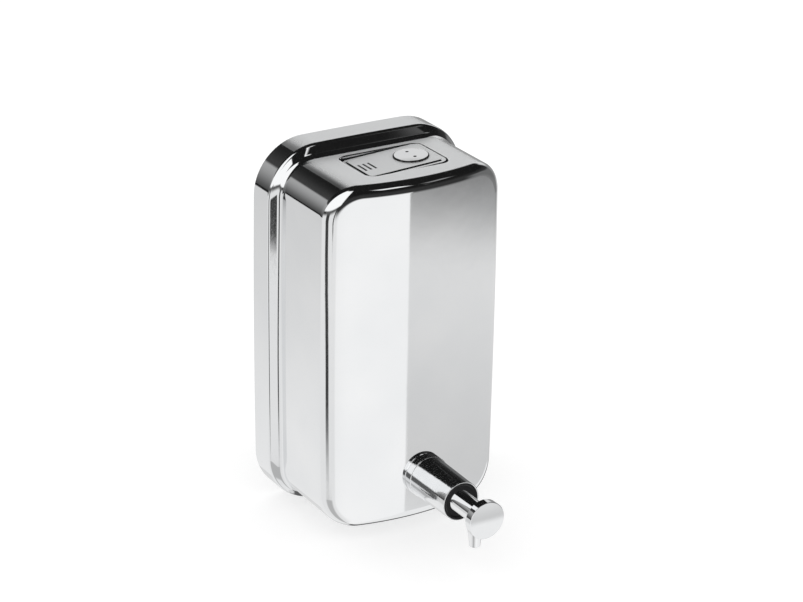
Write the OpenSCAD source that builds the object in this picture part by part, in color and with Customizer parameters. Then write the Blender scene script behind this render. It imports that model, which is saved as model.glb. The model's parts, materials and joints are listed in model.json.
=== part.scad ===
// Wall-hung liquid soap dispenser: polished steel tank, top filler lid with lock, push valve.
// Millimetres. X to the right, Y towards the wall (wall face at Y = 0), Z up.
// The origin is the centre of the bracket's four wall holes.

/* [Body] */
// width of the rear flange at its corners
flange_w = 117; // [112:0.5:126]
// height of the rear flange at its corners
flange_h = 204.4; // [190:0.2:220]
// depth of the rear flange, to the middle of the step
flange_depth = 17.8; // [16:0.1:20]
// corner radius of the rear flange
flange_corner = 28; // [24:0.5:34]
// radius of the step's outer bend
flange_edge = 2.5; // [2:0.1:3]
// how far the front part steps in from the flange
step_in = 5.6; // [5.4:0.1:7]
// corner radius of the front part
front_corner = 19; // [14:0.5:24]
// depth of the body at the middle of its bowed front
depth = 76; // [74:0.5:84]
// radius of the bowed front
bow_radius = 136; // [124:1:200]
// rounding of the front edge
front_edge = 6; // [3:0.1:7]
// radius of the step's hollow bend
step_fillet = 2.5; // [1.5:0.1:3]
// slope of the step, from a flat shoulder
step_slope = 35; // [25:1:45]
// outward bulge of the sides at half height
side_bulge = 1; // [0.5:0.1:1.5]
// outward bulge of the flange's top and bottom
top_bulge = 0.7; // [0:0.1:1]
// sheet thickness of the tank
sheet = 1; // [0.8:0.1:1.2]

/* [Lid] */
// lid length along X
lid_w = 48.2; // [47:0.1:52]
// lid width along Y
lid_l = 31.6; // [31:0.1:34]
// lid corner radius
lid_corner = 5; // [3:0.5:7]
// lid thickness
lid_t = 1; // [0.8:0.1:1.2]
// lid centre to the right of the middle
lid_x = 1; // [-3:0.5:3]
// lid centre from the wall
lid_back = 42.5; // [42:0.5:46]
// depth of the shut lid below the top
lid_sink = 1.2; // [0.8:0.1:1.8]
// angle at which the unlocked lid stands ajar
lid_ajar = 2.85; // [0.5:0.05:3]
// gap around the lid
lid_gap = 0.9; // [0.7:0.1:1.2]
// thickness of the lid seal
lid_seal_t = 2; // [1:0.1:2.2]

/* [Lock] */
// diameter of the lock face
lock_d = 18; // [14:0.5:19]
// lock centre to the right of the lid's centre
lock_dx = 10.3; // [9:0.1:10.5]
// height of the lock face above the lid
lock_face_t = 1.1; // [1:0.1:2]
// distance between the two key holes
key_pitch = 8; // [5:0.5:9]
// diameter of a key hole
key_d = 1.8; // [1.2:0.1:2.4]
// reach of the cam from the lock's axis
cam_reach = 11; // [10.8:0.1:11.4]

/* [Pump] */
// height of the pump axis above the front part's bottom
pump_rise = 27.9; // [26:0.1:36]
// diameter of the collar's base
collar_base_d = 23.7; // [23.4:0.1:27]
// length of the collar's base
collar_base_l = 8; // [6:0.1:10]
// diameter of the collar's mouth
mouth_d = 21.8; // [21.4:0.1:22.4]
// distance from the front to the collar's mouth
collar_reach = 40; // [36:0.5:46]
// plunger diameter
plunger_d = 11.8; // [11:0.1:12]
// button diameter
button_d = 20.8; // [18:0.1:26]
// distance from the mouth to the button's crown
button_reach = 25; // [24.6:0.1:28]
// travel of the button
stroke = 7.5; // [4:0.1:7.8]
// drop of the spout tip below the pump axis
spout_drop = 19.4; // [16:0.1:24]
// diameter of the spout tip
spout_tip_d = 6; // [5:0.1:6.4]

/* [Bracket] */
// bracket height
bracket_h = 90; // [80:1:110]
// bracket sheet thickness
bracket_t = 1.5; // [1.2:0.1:1.6]
// hole spacing across
hole_dx = 28; // [24:1:30]
// hole spacing up and down
hole_dz = 60; // [40:1:64]
// hole diameter
hole_d = 5; // [4:0.1:6]

/* [Hidden] */
$fn = 64;
side_n = 2;
corner_n = 8;
top_n = 20;
edge_n = 6;
step_n = 4;
rim_n = 4;
drum_n = 900;
crown_n = 8;
coil_n = 8;
wire_n = 6;

// reach of a cutting shape past what it cuts
over = 1;

// tank
rim_gap = 0.4;
front_w = flange_w - 2 * step_in;
front_h = flange_h - 2 * step_in;
step_turn = 90 - step_slope;
step_flat = step_in - (flange_edge + step_fillet) * (1 - sin(step_slope));
step_run = (flange_edge + step_fillet) * cos(step_slope) + step_flat * tan(step_slope);
step_start = flange_depth - step_run / 2;
step_end = flange_depth + step_run / 2;
top_z = front_h / 2;
plate_s = 9;
plate_t = 1;
plate_gap = 0.1;

// bracket and hanger, half widths from the middle, depths from the wall
web_half = 22;
lip_half = 33;
joggle = 4.2;
hang_half = 35.8;
hang_t = 1.2;
hang_lip = 2.4;
hang_in = 26;
hang_l = 42;

// lid and pan
lid_top = top_z - lid_sink;
lid_under = lid_top - lid_t;
knuckle_r = 2.3;
knuckle_l = 16;
pin_r = 1;
pin_run = 0.05;
pin_fit = 0.02;
pin_end = 0.4;
hinge_over = 6.1;
hinge_x = lid_x - lid_w / 2 + hinge_over;
hinge_z = lid_under - knuckle_r;
leaf_t = 0.8;
leaf_l = 4.4;
ear_r = 1.8;
ear_t = 1.5;
ear_gap = 0.3;
pan_t = 1;
pan_relief = 0.8;
pan_rim = 3;
pan_w = lid_w + 2 * (lid_gap + pan_relief);
pan_l = lid_l + 2 * (lid_gap + pan_relief);
pan_corner = lid_corner + lid_gap + pan_relief;
pan_top = top_z - sheet;
pan_deep = 7.2;
pan_floor = hinge_z - pan_deep;
neck_w = 30;
neck_l = 24;
neck_dx = 4;
neck_corner = 4;
neck_gap = 0.2;
neck_top = lid_under - lid_seal_t - neck_gap;
lid_seal_w = 3;

// lock
lock_x = lid_x + lock_dx;
cam_gap = 0.35;
tip_rise = (lock_x + cam_reach - hinge_x) * sin(lid_ajar);
cam_top = hinge_z + (pan_floor - pan_t - cam_gap - hinge_z - tip_rise) / cos(lid_ajar);
cam_t = 2;
cam_run = 0.2;
cam_half = 3.2;
cam_hub_r = 4.4;
bush_r = 6;
bush_nose_r = 5;
bush_nose_l = 4;
bush_rim = 0.8;
bush_rim_t = 1.2;
stem_r = 4;
tenon_r = 2.5;
tenon_l = cam_t - cam_run;
screw_r = 1.5;
screw_l = 6;
screw_end = 0.5;
screw_head_r = 3;
screw_head_t = 1.8;
screw_slot = 0.8;
lock_lift = 0.1;
lock_edge = 0.35;
lock_back = 0.2;
lock_sag = 0.08;
key_deep = 0.7;

// pump, depths from the wall along the pump axis
pump_z = pump_rise - top_z;
seat_gap = 0.03;
thread_r = 8.95;
thread_gap = 0.25;
bore_r = 7;
washer_r = 10.7;
washer_t = 1.6;
boss_r = 13;
boss_l = 8;
rim_r = 10.5;
rim_t = 2.4;
tube_r = 8.2;
tube_bore_r = 6.3;
barrel_l = 21;
stop_in = 8;
collar_gap = 0.4;
collar_bore_r = 10.8;
collar_ring_s = 2.6;
collar_ring_w = 1.3;
collar_ring_t = 0.25;
collar_neck = 0.55;
collar_edge = 0.4;
collar_run = 0.2;
mouth_bore_r = 10.35;
mouth_l = 6;
gland_run = 0.3;
gland_in = 0.1;
gland_lip = 1;
gland_slope = 0.6;
gland_dish = 0.8;
gland_ring_s = 2.1;
gland_ring_w = 1.8;
gland_ring_t = 1.4;
ring_gap = 0.1;
press_gap = 0.03;
s_front = depth;
s_collar = s_front + collar_gap;
s_mouth = s_front + collar_reach;
s_flange = s_front + washer_t;
s_flange_end = s_flange + rim_t;
s_stop = s_front + stop_in;
s_tube = s_mouth - mouth_l;
s_barrel = s_front - barrel_l;
piston_l = 6;
piston_gap = 0.3;
piston_groove_r = 5.4;
piston_bore_r = 1.75;
ring_s = 1.8;
ring_w = 2.4;
s_piston_end = s_stop - piston_gap;
s_piston = s_piston_end - piston_l;
cap_t = 2;
cap_l = 5;
cage_l = 8;
cage_r = 4.5;
cage_bore_r = 3.5;
cage_lip_r = 2.4;
cage_lip_t = 0.8;
cage_slot = 2.2;
cage_foot = 2;
cage_top = 1.4;
s_cap = s_barrel + cap_l;
s_cage = s_cap + cage_l;
spout_root_r = 5.6;
spout_gap = 0.7;
spout_bore_r = 1.5;
spout_tail_r = 3;
spout_tail_top = 2.4;
spout_start = 3;
spout_lip = 1;
spout_lip_in = 0.2;
// spout's outline: how far in from the root, how far below the plunger
spout_line = [[0, -0.3], [0.9, 1.9], [1.7, 5], [2.25, 8.6]];
s_spout = s_mouth + stroke + spout_root_r + spout_gap;
s_button = s_mouth + button_reach;
plunger_r = plunger_d / 2;
plunger_bore_r = 4;
crown_t = 2;
crown_rise = 0.25;
button_edge = 1.2;
button_skirt = 5.2;
button_hub = 1.2;
crown_lip = 0.2;
// button's rear outline: how far in from the rim, how far forward of the skirt
button_back = [[1.2, 0.9], [0.3, 1.5], [0, 2.2]];
s_plunger_end = s_button - crown_t;
ball_gap = 0.1;
in_ball_r = 3;
in_seat_r = 2;
in_seat_s = 0.5;
s_in_ball = s_cap - in_seat_s + sqrt(in_ball_r * in_ball_r - in_seat_r * in_seat_r) + ball_gap;
out_ball_r = 2.5;
out_seat_r = 1.5;
seat_in = 8.1;
seat_l = 4;
s_seat = s_piston_end + seat_in;
s_seat_end = s_seat + seat_l;
s_out_ball = s_seat_end + sqrt(out_ball_r * out_ball_r - out_seat_r * out_seat_r) + ball_gap;
chamber_l = 12.2;
s_chamber_end = s_seat_end + chamber_l;
chamber_r = 3.2;
passage_r = 2;
s_passage = s_spout + 2.2;
return_coil_r = 5.6;
return_wire_r = 0.5;
outlet_coil_r = 2.2;
outlet_wire_r = 0.25;
coil_turns = 5;
spring_seat = 1.6;

// Outline helpers: a rounded rectangle from the right middle over the top to the left middle.
function half_line(w, h, r) = concat(
    [for (i = [0 : side_n - 1]) [w / 2, (h / 2 - r) * i / side_n]],
    [for (i = [0 : corner_n - 1]) let (a = 90 * i / corner_n)
        [w / 2 - r + r * cos(a), h / 2 - r + r * sin(a)]],
    [for (i = [0 : top_n - 1]) [(w / 2 - r) * (1 - 2 * i / top_n), h / 2]],
    [for (i = [0 : corner_n - 1]) let (a = 90 + 90 * i / corner_n)
        [r - w / 2 + r * cos(a), h / 2 - r + r * sin(a)]],
    [for (i = [0 : side_n]) [-w / 2, (h / 2 - r) * (1 - i / side_n)]]);

function full_line(w, h, r) =
    let (t = half_line(w, h, r), m = len(t) - 1)
    concat(t, [for (i = [m - 1 : -1 : 1]) [t[i][0], -t[i][1]]]);

// Pressed panels are not quite straight: each side swells towards its middle.
function swell(p, w, h, across, up) = [
    p[0] * (1 + 2 * across / w * (1 - pow(2 * p[1] / h, 2))),
    p[1] * (1 + 2 * up / h * (1 - pow(2 * p[0] / w, 2)))];

function flange_line(inset) =
    [for (p = full_line(flange_w - 2 * inset, flange_h - 2 * inset, flange_corner - inset))
        swell(p, flange_w, flange_h, side_bulge, top_bulge)];

function front_line(inset) =
    [for (p = full_line(front_w - 2 * inset, front_h - 2 * inset, front_corner - inset))
        swell(p, front_w, front_h, side_bulge, 0)];

function bow(x) = bow_radius - sqrt(bow_radius * bow_radius - x * x);

// Rings of the drawn shell: over the flange, along the front part, and on the bowed front.
function flange_ring(inset, s) = [for (q = flange_line(inset)) [q[0], -s, q[1]]];
function wall_ring(inset, s) = [for (q = front_line(inset)) [q[0], -s, q[1]]];
function face_ring(inset, drop) = [for (q = front_line(inset)) [q[0], bow(q[0]) + drop - depth, q[1]]];

// One skin, from the front face back to the rim; a skin on the inside keeps the fillets' centres.
function skin(t) = concat(
    [for (k = [0 : edge_n]) let (a = 90 * k / edge_n)
        face_ring(t + (front_edge - t) * (1 - sin(a)), t + (front_edge - t) * (1 - cos(a)))],
    [for (k = [0 : step_n]) let (a = step_turn * k / step_n)
        wall_ring((step_fillet + t) * cos(a) - step_fillet, step_end - (step_fillet + t) * sin(a))],
    [for (k = [rim_n : -1 : 0]) let (a = step_turn * k / rim_n)
        flange_ring(flange_edge - (flange_edge - t) * cos(a), step_start + (flange_edge - t) * sin(a))],
    [flange_ring(t, rim_gap)]);

function backwards(list) = [for (i = [len(list) - 1 : -1 : 0]) list[i]];

module drawn_shell() {
    rings = concat(skin(0), backwards(skin(sheet)));
    n = len(rings[0]);
    m = n / 2;
    last = (len(rings) - 1) * n;
    points = [for (r = rings) each r];
    walls = [for (k = [0 : len(rings) - 2]) for (i = [0 : n - 1]) let (j = (i + 1) % n) each
        [[k * n + i, k * n + j, (k + 1) * n + j], [k * n + i, (k + 1) * n + j, (k + 1) * n + i]]];
    strips = [for (i = [1 : m - 2]) [n - i, n - i - 1, i + 1, i]];
    ends = [[n - 1, 1, 0], [m + 1, m, m - 1]];
    caps = concat(strips, ends);
    inner_caps = [for (f = caps) [for (i = [len(f) - 1 : -1 : 0]) last + f[i]]];
    polyhedron(points = points, faces = concat(walls, caps, inner_caps), convexity = 8);
}

// Shared building modules
module slab(x0, x1, y0, y1, z0, z1) {
    translate([x0, y0, z0]) cube([x1 - x0, y1 - y0, z1 - z0]);
}

module side_slab(side, a, b, y0, y1, z0, z1) {
    slab(min(side * a, side * b), max(side * a, side * b), y0, y1, z0, z1);
}

module round_box(w, l, h, r) {
    translate([r - w / 2, -l / 2, 0]) cube([w - 2 * r, l, h]);
    translate([-w / 2, r - l / 2, 0]) cube([w, l - 2 * r, h]);
    for (x = [-1, 1], y = [-1, 1])
        translate([x * (w / 2 - r), y * (l / 2 - r), 0]) cylinder(r = r, h = h);
}

module at_lid(dx = 0) {
    translate([lid_x + dx, -lid_back, 0]) children();
}

module ajar() {
    translate([hinge_x, 0, hinge_z]) rotate([0, -lid_ajar, 0])
        translate([-hinge_x, 0, -hinge_z]) children();
}

module along_y(x, z, y0, y1, r) {
    translate([x, y1, z]) rotate([90, 0, 0]) cylinder(r = r, h = y1 - y0);
}

module pump_axis() {
    translate([0, 0, pump_z]) rotate([90, 0, 0]) children();
}

module turned(profile) {
    pump_axis() rotate_extrude() polygon(profile);
}

module pipe(s0, s1, ro, ri) {
    turned([[ri, s0], [ro, s0], [ro, s1], [ri, s1]]);
}

module bow_drum(back, grow) {
    translate([0, bow_radius - depth + back, pump_z - 2 * boss_r])
        cylinder(r = bow_radius + grow, h = 4 * boss_r, $fn = drum_n);
}

// One unbroken wire, a few rings to a turn
module coil(mean_r, wire_r, s0, s1) {
    n = coil_turns * coil_n;
    w = wire_n;
    pitch = (s1 - s0 - 2 * wire_r) / coil_turns;
    echo(coil_gap = pitch - 2 * wire_r);
    points = [for (k = [0 : n]) for (j = [0 : w - 1])
        let (a = 360 * k / coil_n, b = 360 * j / w, r = mean_r + wire_r * cos(b))
        [r * cos(a), r * sin(a), s0 + wire_r + pitch * k / coil_n + wire_r * sin(b)]];
    sides = [for (k = [0 : n - 1]) for (j = [0 : w - 1]) let (p = w * k, i = (j + 1) % w) each
        [[p + j, p + i, p + w + i], [p + j, p + w + i, p + w + j]]];
    ends = [[for (j = [w - 1 : -1 : 0]) j], [for (j = [0 : w - 1]) w * n + j]];
    pump_axis() polyhedron(points = points, faces = concat(sides, ends), convexity = 10);
}

// Wall side
module wall_bracket() {
    color("LightSteelBlue") difference() {
        union() {
            slab(-web_half, web_half, -bracket_t, 0, -bracket_h / 2, bracket_h / 2);
            for (side = [-1, 1]) {
                side_slab(side, web_half - bracket_t, web_half, -joggle - bracket_t, 0,
                    -bracket_h / 2, bracket_h / 2);
                side_slab(side, web_half - bracket_t, lip_half, -joggle - bracket_t, -joggle,
                    -bracket_h / 2, bracket_h / 2);
            }
        }
        for (x = [-1, 1], z = [-1, 1])
            along_y(x * hole_dx / 2, z * hole_dz / 2, -bracket_t - over, over, hole_d / 2);
    }
}

module hanger_frame() {
    hang_z = bracket_h / 2;
    color("SlateGray") union() {
        for (side = [-1, 1]) {
            side_slab(side, hang_in, hang_half, -plate_s, hang_t - plate_s, hang_z - hang_l, hang_z);
            side_slab(side, hang_half - hang_t, hang_half, -plate_s, -hang_lip, hang_z - hang_l, hang_z);
            side_slab(side, hang_in, hang_half, -hang_lip - hang_t, -hang_lip, hang_z - hang_l, hang_z);
        }
        slab(-hang_half, hang_half, -plate_s, -hang_lip, hang_z, hang_z + hang_t);
    }
}

// Tank
module front_shell() {
    color("Gainsboro") difference() {
        drawn_shell();
        at_lid() translate([0, 0, pan_top - over])
            round_box(lid_w + 2 * lid_gap, lid_l + 2 * lid_gap, sheet + 2 * over, lid_corner + lid_gap);
        along_y(0, pump_z, -depth - over, sheet + over - depth, thread_r + thread_gap);
    }
}

module back_plate() {
    color("DarkGray") translate([0, -plate_s, 0]) rotate([90, 0, 0])
        linear_extrude(plate_t) polygon(flange_line(sheet + plate_gap));
}

module filler_frame() {
    color("Silver") difference() {
        union() {
            at_lid() difference() {
                union() {
                    translate([0, 0, pan_top - pan_t]) round_box(pan_w + 2 * (pan_t + pan_rim),
                        pan_l + 2 * (pan_t + pan_rim), pan_t, pan_corner + pan_t + pan_rim);
                    translate([0, 0, pan_floor - pan_t]) round_box(pan_w + 2 * pan_t,
                        pan_l + 2 * pan_t, pan_top - pan_floor + pan_t, pan_corner + pan_t);
                }
                translate([0, 0, pan_floor])
                    round_box(pan_w, pan_l, pan_top - pan_floor + over, pan_corner);
            }
            at_lid(neck_dx) translate([0, 0, pan_floor - pan_t]) round_box(neck_w + 2 * pan_t,
                neck_l + 2 * pan_t, neck_top - pan_floor + pan_t, neck_corner + pan_t);
            for (side = [-1, 1]) {
                ear_y = -lid_back + side * (knuckle_l / 2 + ear_gap + ear_t / 2);
                slab(hinge_x - ear_r, hinge_x + ear_r, ear_y - ear_t / 2, ear_y + ear_t / 2,
                    pan_floor - pan_t / 2, hinge_z);
                along_y(hinge_x, hinge_z, ear_y - ear_t / 2, ear_y + ear_t / 2, ear_r);
            }
        }
        at_lid(neck_dx) translate([0, 0, pan_floor - pan_t - over])
            round_box(neck_w, neck_l, pan_deep + pan_t + 2 * over, neck_corner);
        along_y(hinge_x, hinge_z, -lid_back - knuckle_l, -lid_back + knuckle_l, pin_r + pin_fit);
    }
}

module hinge_pin() {
    half = knuckle_l / 2 + ear_gap + ear_t + pin_end;
    color("DimGray") along_y(hinge_x, hinge_z, -lid_back - half, -lid_back + half, pin_r);
}

// Lid, drawn shut and then set ajar
module hatch_lid() {
    color("WhiteSmoke") ajar() difference() {
        at_lid() translate([0, 0, lid_under]) round_box(lid_w, lid_l, lid_t, lid_corner);
        at_lid(lock_dx) translate([0, 0, lid_under - over])
            cylinder(r = bush_r + pin_fit, h = lid_t + 2 * over);
    }
}

module hinge_leaf() {
    color("Silver") ajar() difference() {
        union() {
            along_y(hinge_x, hinge_z, -lid_back - knuckle_l / 2, -lid_back + knuckle_l / 2, knuckle_r);
            slab(hinge_x, hinge_x + leaf_l, -lid_back - knuckle_l / 2, -lid_back + knuckle_l / 2,
                lid_under - leaf_t, lid_under);
        }
        along_y(hinge_x, hinge_z, -lid_back - knuckle_l, -lid_back + knuckle_l, pin_r + pin_run);
    }
}

module filler_gasket() {
    out = pan_t + lid_seal_w;
    in = pan_t - lid_seal_w;
    color("Black") ajar() at_lid(neck_dx) translate([0, 0, lid_under - lid_seal_t]) difference() {
        round_box(neck_w + out, neck_l + out, lid_seal_t, neck_corner + out / 2);
        translate([0, 0, -over])
            round_box(neck_w + in, neck_l + in, lid_seal_t + 2 * over, neck_corner + in / 2);
    }
}

module lock_bush() {
    nose = lid_under - bush_nose_l;
    rim = lid_under - bush_rim_t;
    color("Goldenrod") ajar() at_lid(lock_dx) rotate_extrude() polygon([
        [stem_r + pin_run, cam_top + cam_run], [bush_nose_r, cam_top + cam_run], [bush_nose_r, nose],
        [bush_r, nose], [bush_r, rim], [bush_r + bush_rim, rim], [bush_r + bush_rim, lid_under],
        [bush_r, lid_under], [bush_r, lid_top], [stem_r + pin_run, lid_top]]);
}

module lock_plug() {
    r = lock_d / 2;
    base = lid_top + lock_lift;
    crown = base + lock_face_t;
    rim = crown - 2 * lock_edge;
    color("Gainsboro") ajar() at_lid(lock_dx) difference() {
        rotate_extrude() polygon(concat(
            [[0, cam_top - tenon_l], [tenon_r, cam_top - tenon_l], [tenon_r, cam_top],
                [stem_r, cam_top], [stem_r, base], [r - lock_back, base], [r, base + lock_back]],
            [for (a = [0 : 15 : 75]) [r - lock_edge * (1 - cos(a)), rim + lock_edge * sin(a)]],
            [[r - 3 * lock_edge, crown - 3 * lock_sag], [r / 2, crown - lock_sag], [0, crown]]));
        for (side = [-1, 1])
            translate([0, side * key_pitch / 2, crown - key_deep])
                cylinder(d = key_d, h = key_deep + over);
        translate([0, 0, cam_top - cam_t - over])
            cylinder(r = screw_r + pin_fit, h = screw_l + over + screw_end);
    }
}

module lock_cam() {
    color("Gray") ajar() at_lid(lock_dx) translate([0, 0, cam_top - cam_t]) difference() {
        union() {
            cylinder(r = cam_hub_r, h = cam_t);
            slab(-cam_half, cam_half, cam_half - cam_reach, 0, 0, cam_t);
            translate([0, cam_half - cam_reach, 0]) cylinder(r = cam_half, h = cam_t);
        }
        translate([0, 0, -over]) cylinder(r = tenon_r + pin_fit, h = cam_t + 2 * over);
    }
}

module cam_screw() {
    color("DimGray") ajar() at_lid(lock_dx) translate([0, 0, cam_top - cam_t]) difference() {
        union() {
            translate([0, 0, -screw_head_t]) cylinder(r = screw_head_r, h = screw_head_t);
            cylinder(r = screw_r, h = screw_l);
        }
        translate([-screw_head_r - over, -screw_slot / 2, -screw_head_t - over])
            cube([2 * (screw_head_r + over), screw_slot, screw_head_t]);
    }
}

// Pump, fixed pieces
module valve_boss() {
    color("DarkGray") intersection() {
        pipe(s_front - boss_l, s_front + over, boss_r, thread_r + pin_run);
        bow_drum(sheet + seat_gap, 0);
    }
}

module outer_gasket() {
    color("Black") difference() {
        pipe(s_front - over, s_flange, washer_r, thread_r + thread_gap);
        bow_drum(0, seat_gap);
    }
}

module pump_housing() {
    color("DarkSlateGray") turned([
        [bore_r, s_barrel], [thread_r, s_barrel], [thread_r, s_flange], [rim_r, s_flange],
        [rim_r, s_flange_end], [tube_r, s_flange_end], [tube_r, s_tube], [tube_bore_r, s_tube],
        [tube_bore_r, s_stop], [bore_r, s_stop]]);
}

module collar() {
    b = collar_base_d / 2;
    m = mouth_d / 2;
    s_neck = s_collar + collar_base_l;
    n = m + (b - m) * collar_neck;
    g = s_collar + collar_ring_s;
    h = g + collar_ring_w;
    in = tube_r + 2 * pin_run;
    color("Gainsboro") turned([
        [collar_bore_r, s_collar], [b - collar_edge, s_collar], [b, s_collar + collar_edge],
        [b, g], [b - collar_ring_t, g + collar_ring_t], [b - collar_ring_t, h - collar_ring_t], [b, h],
        [b, s_neck - 2 * collar_edge], [b - collar_edge, s_neck - collar_edge / 2], [n, s_neck],
        [m, s_mouth - collar_edge], [m - collar_edge, s_mouth], [mouth_bore_r, s_mouth],
        [mouth_bore_r, s_tube + collar_run], [in, s_tube + collar_run],
        [in, s_flange_end + collar_run], [collar_bore_r, s_flange_end + collar_run]]);
}

module gland_bush() {
    run = plunger_r + pin_run;
    out = mouth_bore_r - pin_run;
    lip = out - gland_lip;
    rear = s_tube + gland_run;
    front = s_mouth - gland_in;
    dish = front - gland_dish;
    g = s_tube + gland_ring_s;
    color("Black") turned([
        [run, rear], [out, rear], [out, front], [lip, front], [lip - gland_slope, dish], [run, dish],
        [run, g + gland_ring_w], [run + gland_ring_t, g + gland_ring_w],
        [run + gland_ring_t, g], [run, g]]);
}

module gland_seal() {
    run = plunger_r + pin_run;
    g = s_tube + gland_ring_s;
    color("DimGray") pipe(g + ring_gap, g + gland_ring_w - ring_gap, run + gland_ring_t - ring_gap, run);
}

module inlet_cap() {
    plug = bore_r - 2 * pin_fit;
    brim = thread_r - ring_gap;
    lip = s_cage - cage_lip_t;
    seat = s_cap - in_seat_s;
    color("Ivory") difference() {
        turned([
            [in_seat_r, s_barrel - cap_t], [brim, s_barrel - cap_t], [brim, s_barrel], [plug, s_barrel],
            [plug, s_cap], [cage_r, s_cap], [cage_r, s_cage], [cage_lip_r, s_cage], [cage_lip_r, lip],
            [cage_bore_r, lip], [cage_bore_r, seat], [in_seat_r, seat]]);
        pump_axis() for (a = [0, 90]) rotate([0, 0, a])
            translate([-cage_r - over, -cage_slot / 2, s_cap + cage_foot])
                cube([2 * (cage_r + over), cage_slot, cage_l - cage_foot - cage_top]);
    }
}

module inlet_ball() {
    color("LightGray") pump_axis() translate([0, 0, s_in_ball]) sphere(r = in_ball_r);
}

// Pump, pieces that travel with the button
module plunger() {
    color("Gainsboro") difference() {
        turned([
            [plunger_bore_r, s_piston_end], [plunger_r, s_piston_end], [plunger_r, s_plunger_end],
            [0, s_plunger_end], [0, s_passage], [passage_r, s_passage], [passage_r, s_chamber_end],
            [chamber_r, s_chamber_end], [chamber_r, s_seat_end + pin_run],
            [plunger_bore_r, s_seat_end + pin_run]]);
        translate([0, -s_spout, pump_z - plunger_r - over])
            cylinder(r = spout_tail_r, h = plunger_r);
    }
}

module push_button() {
    r = button_d / 2;
    brim = s_button - crown_rise - crown_lip;
    skirt = s_button - button_skirt;
    color("WhiteSmoke") turned(concat(
        [[0, s_plunger_end + pin_run], [plunger_r + pin_fit, s_plunger_end + pin_run],
            [plunger_r + pin_fit, skirt], [plunger_r + button_hub, skirt]],
        [for (p = button_back) [r - p[0], skirt + p[1]]],
        [for (a = [0 : 15 : 75]) [r - button_edge * (1 - cos(a)), brim + button_edge * (sin(a) - 1)]],
        [for (k = [crown_n : -1 : 0]) let (q = (r - button_edge) * k / crown_n)
            [q, s_button - crown_rise * pow(q / (r - button_edge), 2)]]));
}

module spout() {
    tip = spout_tip_d / 2;
    color("Gainsboro") translate([0, -s_spout, pump_z]) difference() {
        union() {
            difference() {
                rotate_extrude() polygon(concat(
                    [[0, -spout_start], [spout_root_r, -spout_start]],
                    [for (p = spout_line) [spout_root_r - p[0], -plunger_r - p[1]]],
                    [[tip, spout_lip - spout_drop], [tip - spout_lip_in, -spout_drop], [0, -spout_drop]]));
                translate([0, spout_root_r + over, 0]) rotate([90, 0, 0])
                    cylinder(r = plunger_r + pin_fit, h = 2 * (spout_root_r + over));
            }
            translate([0, 0, -plunger_r - over])
                cylinder(r = spout_tail_r - press_gap, h = plunger_r + over - spout_tail_top);
        }
        translate([0, 0, -spout_drop - over]) cylinder(r = spout_bore_r, h = spout_drop + 2 * over);
    }
}

module piston() {
    out = bore_r - pin_run;
    g = s_piston + ring_s;
    stub = plunger_bore_r - press_gap;
    color("Ivory") turned([
        [piston_bore_r, s_piston], [out, s_piston], [out, g], [piston_groove_r, g],
        [piston_groove_r, g + ring_w], [out, g + ring_w], [out, s_piston_end], [stub, s_piston_end],
        [stub, s_seat - ring_gap], [piston_bore_r, s_seat - ring_gap]]);
}

module piston_seal() {
    g = s_piston + ring_s;
    color("Black") pipe(g + ring_gap, g + ring_w - ring_gap,
        bore_r - press_gap, piston_groove_r + press_gap);
}

module outlet_seat() {
    color("Ivory") pipe(s_seat, s_seat_end, plunger_bore_r - press_gap, out_seat_r);
}

module outlet_ball() {
    color("LightGray") pump_axis() translate([0, 0, s_out_ball]) sphere(r = out_ball_r);
}

module outlet_spring() {
    color("Silver") coil(outlet_coil_r, outlet_wire_r, s_out_ball + spring_seat, s_chamber_end - pin_run);
}

module return_spring() {
    color("Silver") coil(return_coil_r, return_wire_r, s_cap + pin_run, s_piston - pin_run);
}

wall_bracket();
front_shell();
back_plate();
hanger_frame();
filler_frame();
hinge_pin();
hatch_lid();
hinge_leaf();
filler_gasket();
lock_bush();
lock_plug();
lock_cam();
cam_screw();
valve_boss();
outer_gasket();
pump_housing();
collar();
gland_bush();
gland_seal();
inlet_cap();
inlet_ball();
plunger();
push_button();
spout();
piston();
piston_seal();
outlet_seat();
outlet_ball();
outlet_spring();
return_spring();
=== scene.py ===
# %% [markdown]
# # A wall soap dispenser in polished steel
# The real object is a pressed steel tank that hangs on a wall bracket, with a lockable filler
# lid on top and a chromed push valve in front. Its shapes and joints come from the packed
# model, so the first step loads that model and keeps its box. Everything below is dressed
# around it in the same frame: X to the right, Y into the wall, Z up, metres.

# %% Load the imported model
import json
import math
from functools import partial

import bmesh
import bpy
import numpy as np
from mathutils import Matrix, Vector
from mathutils.kdtree import KDTree


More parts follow.
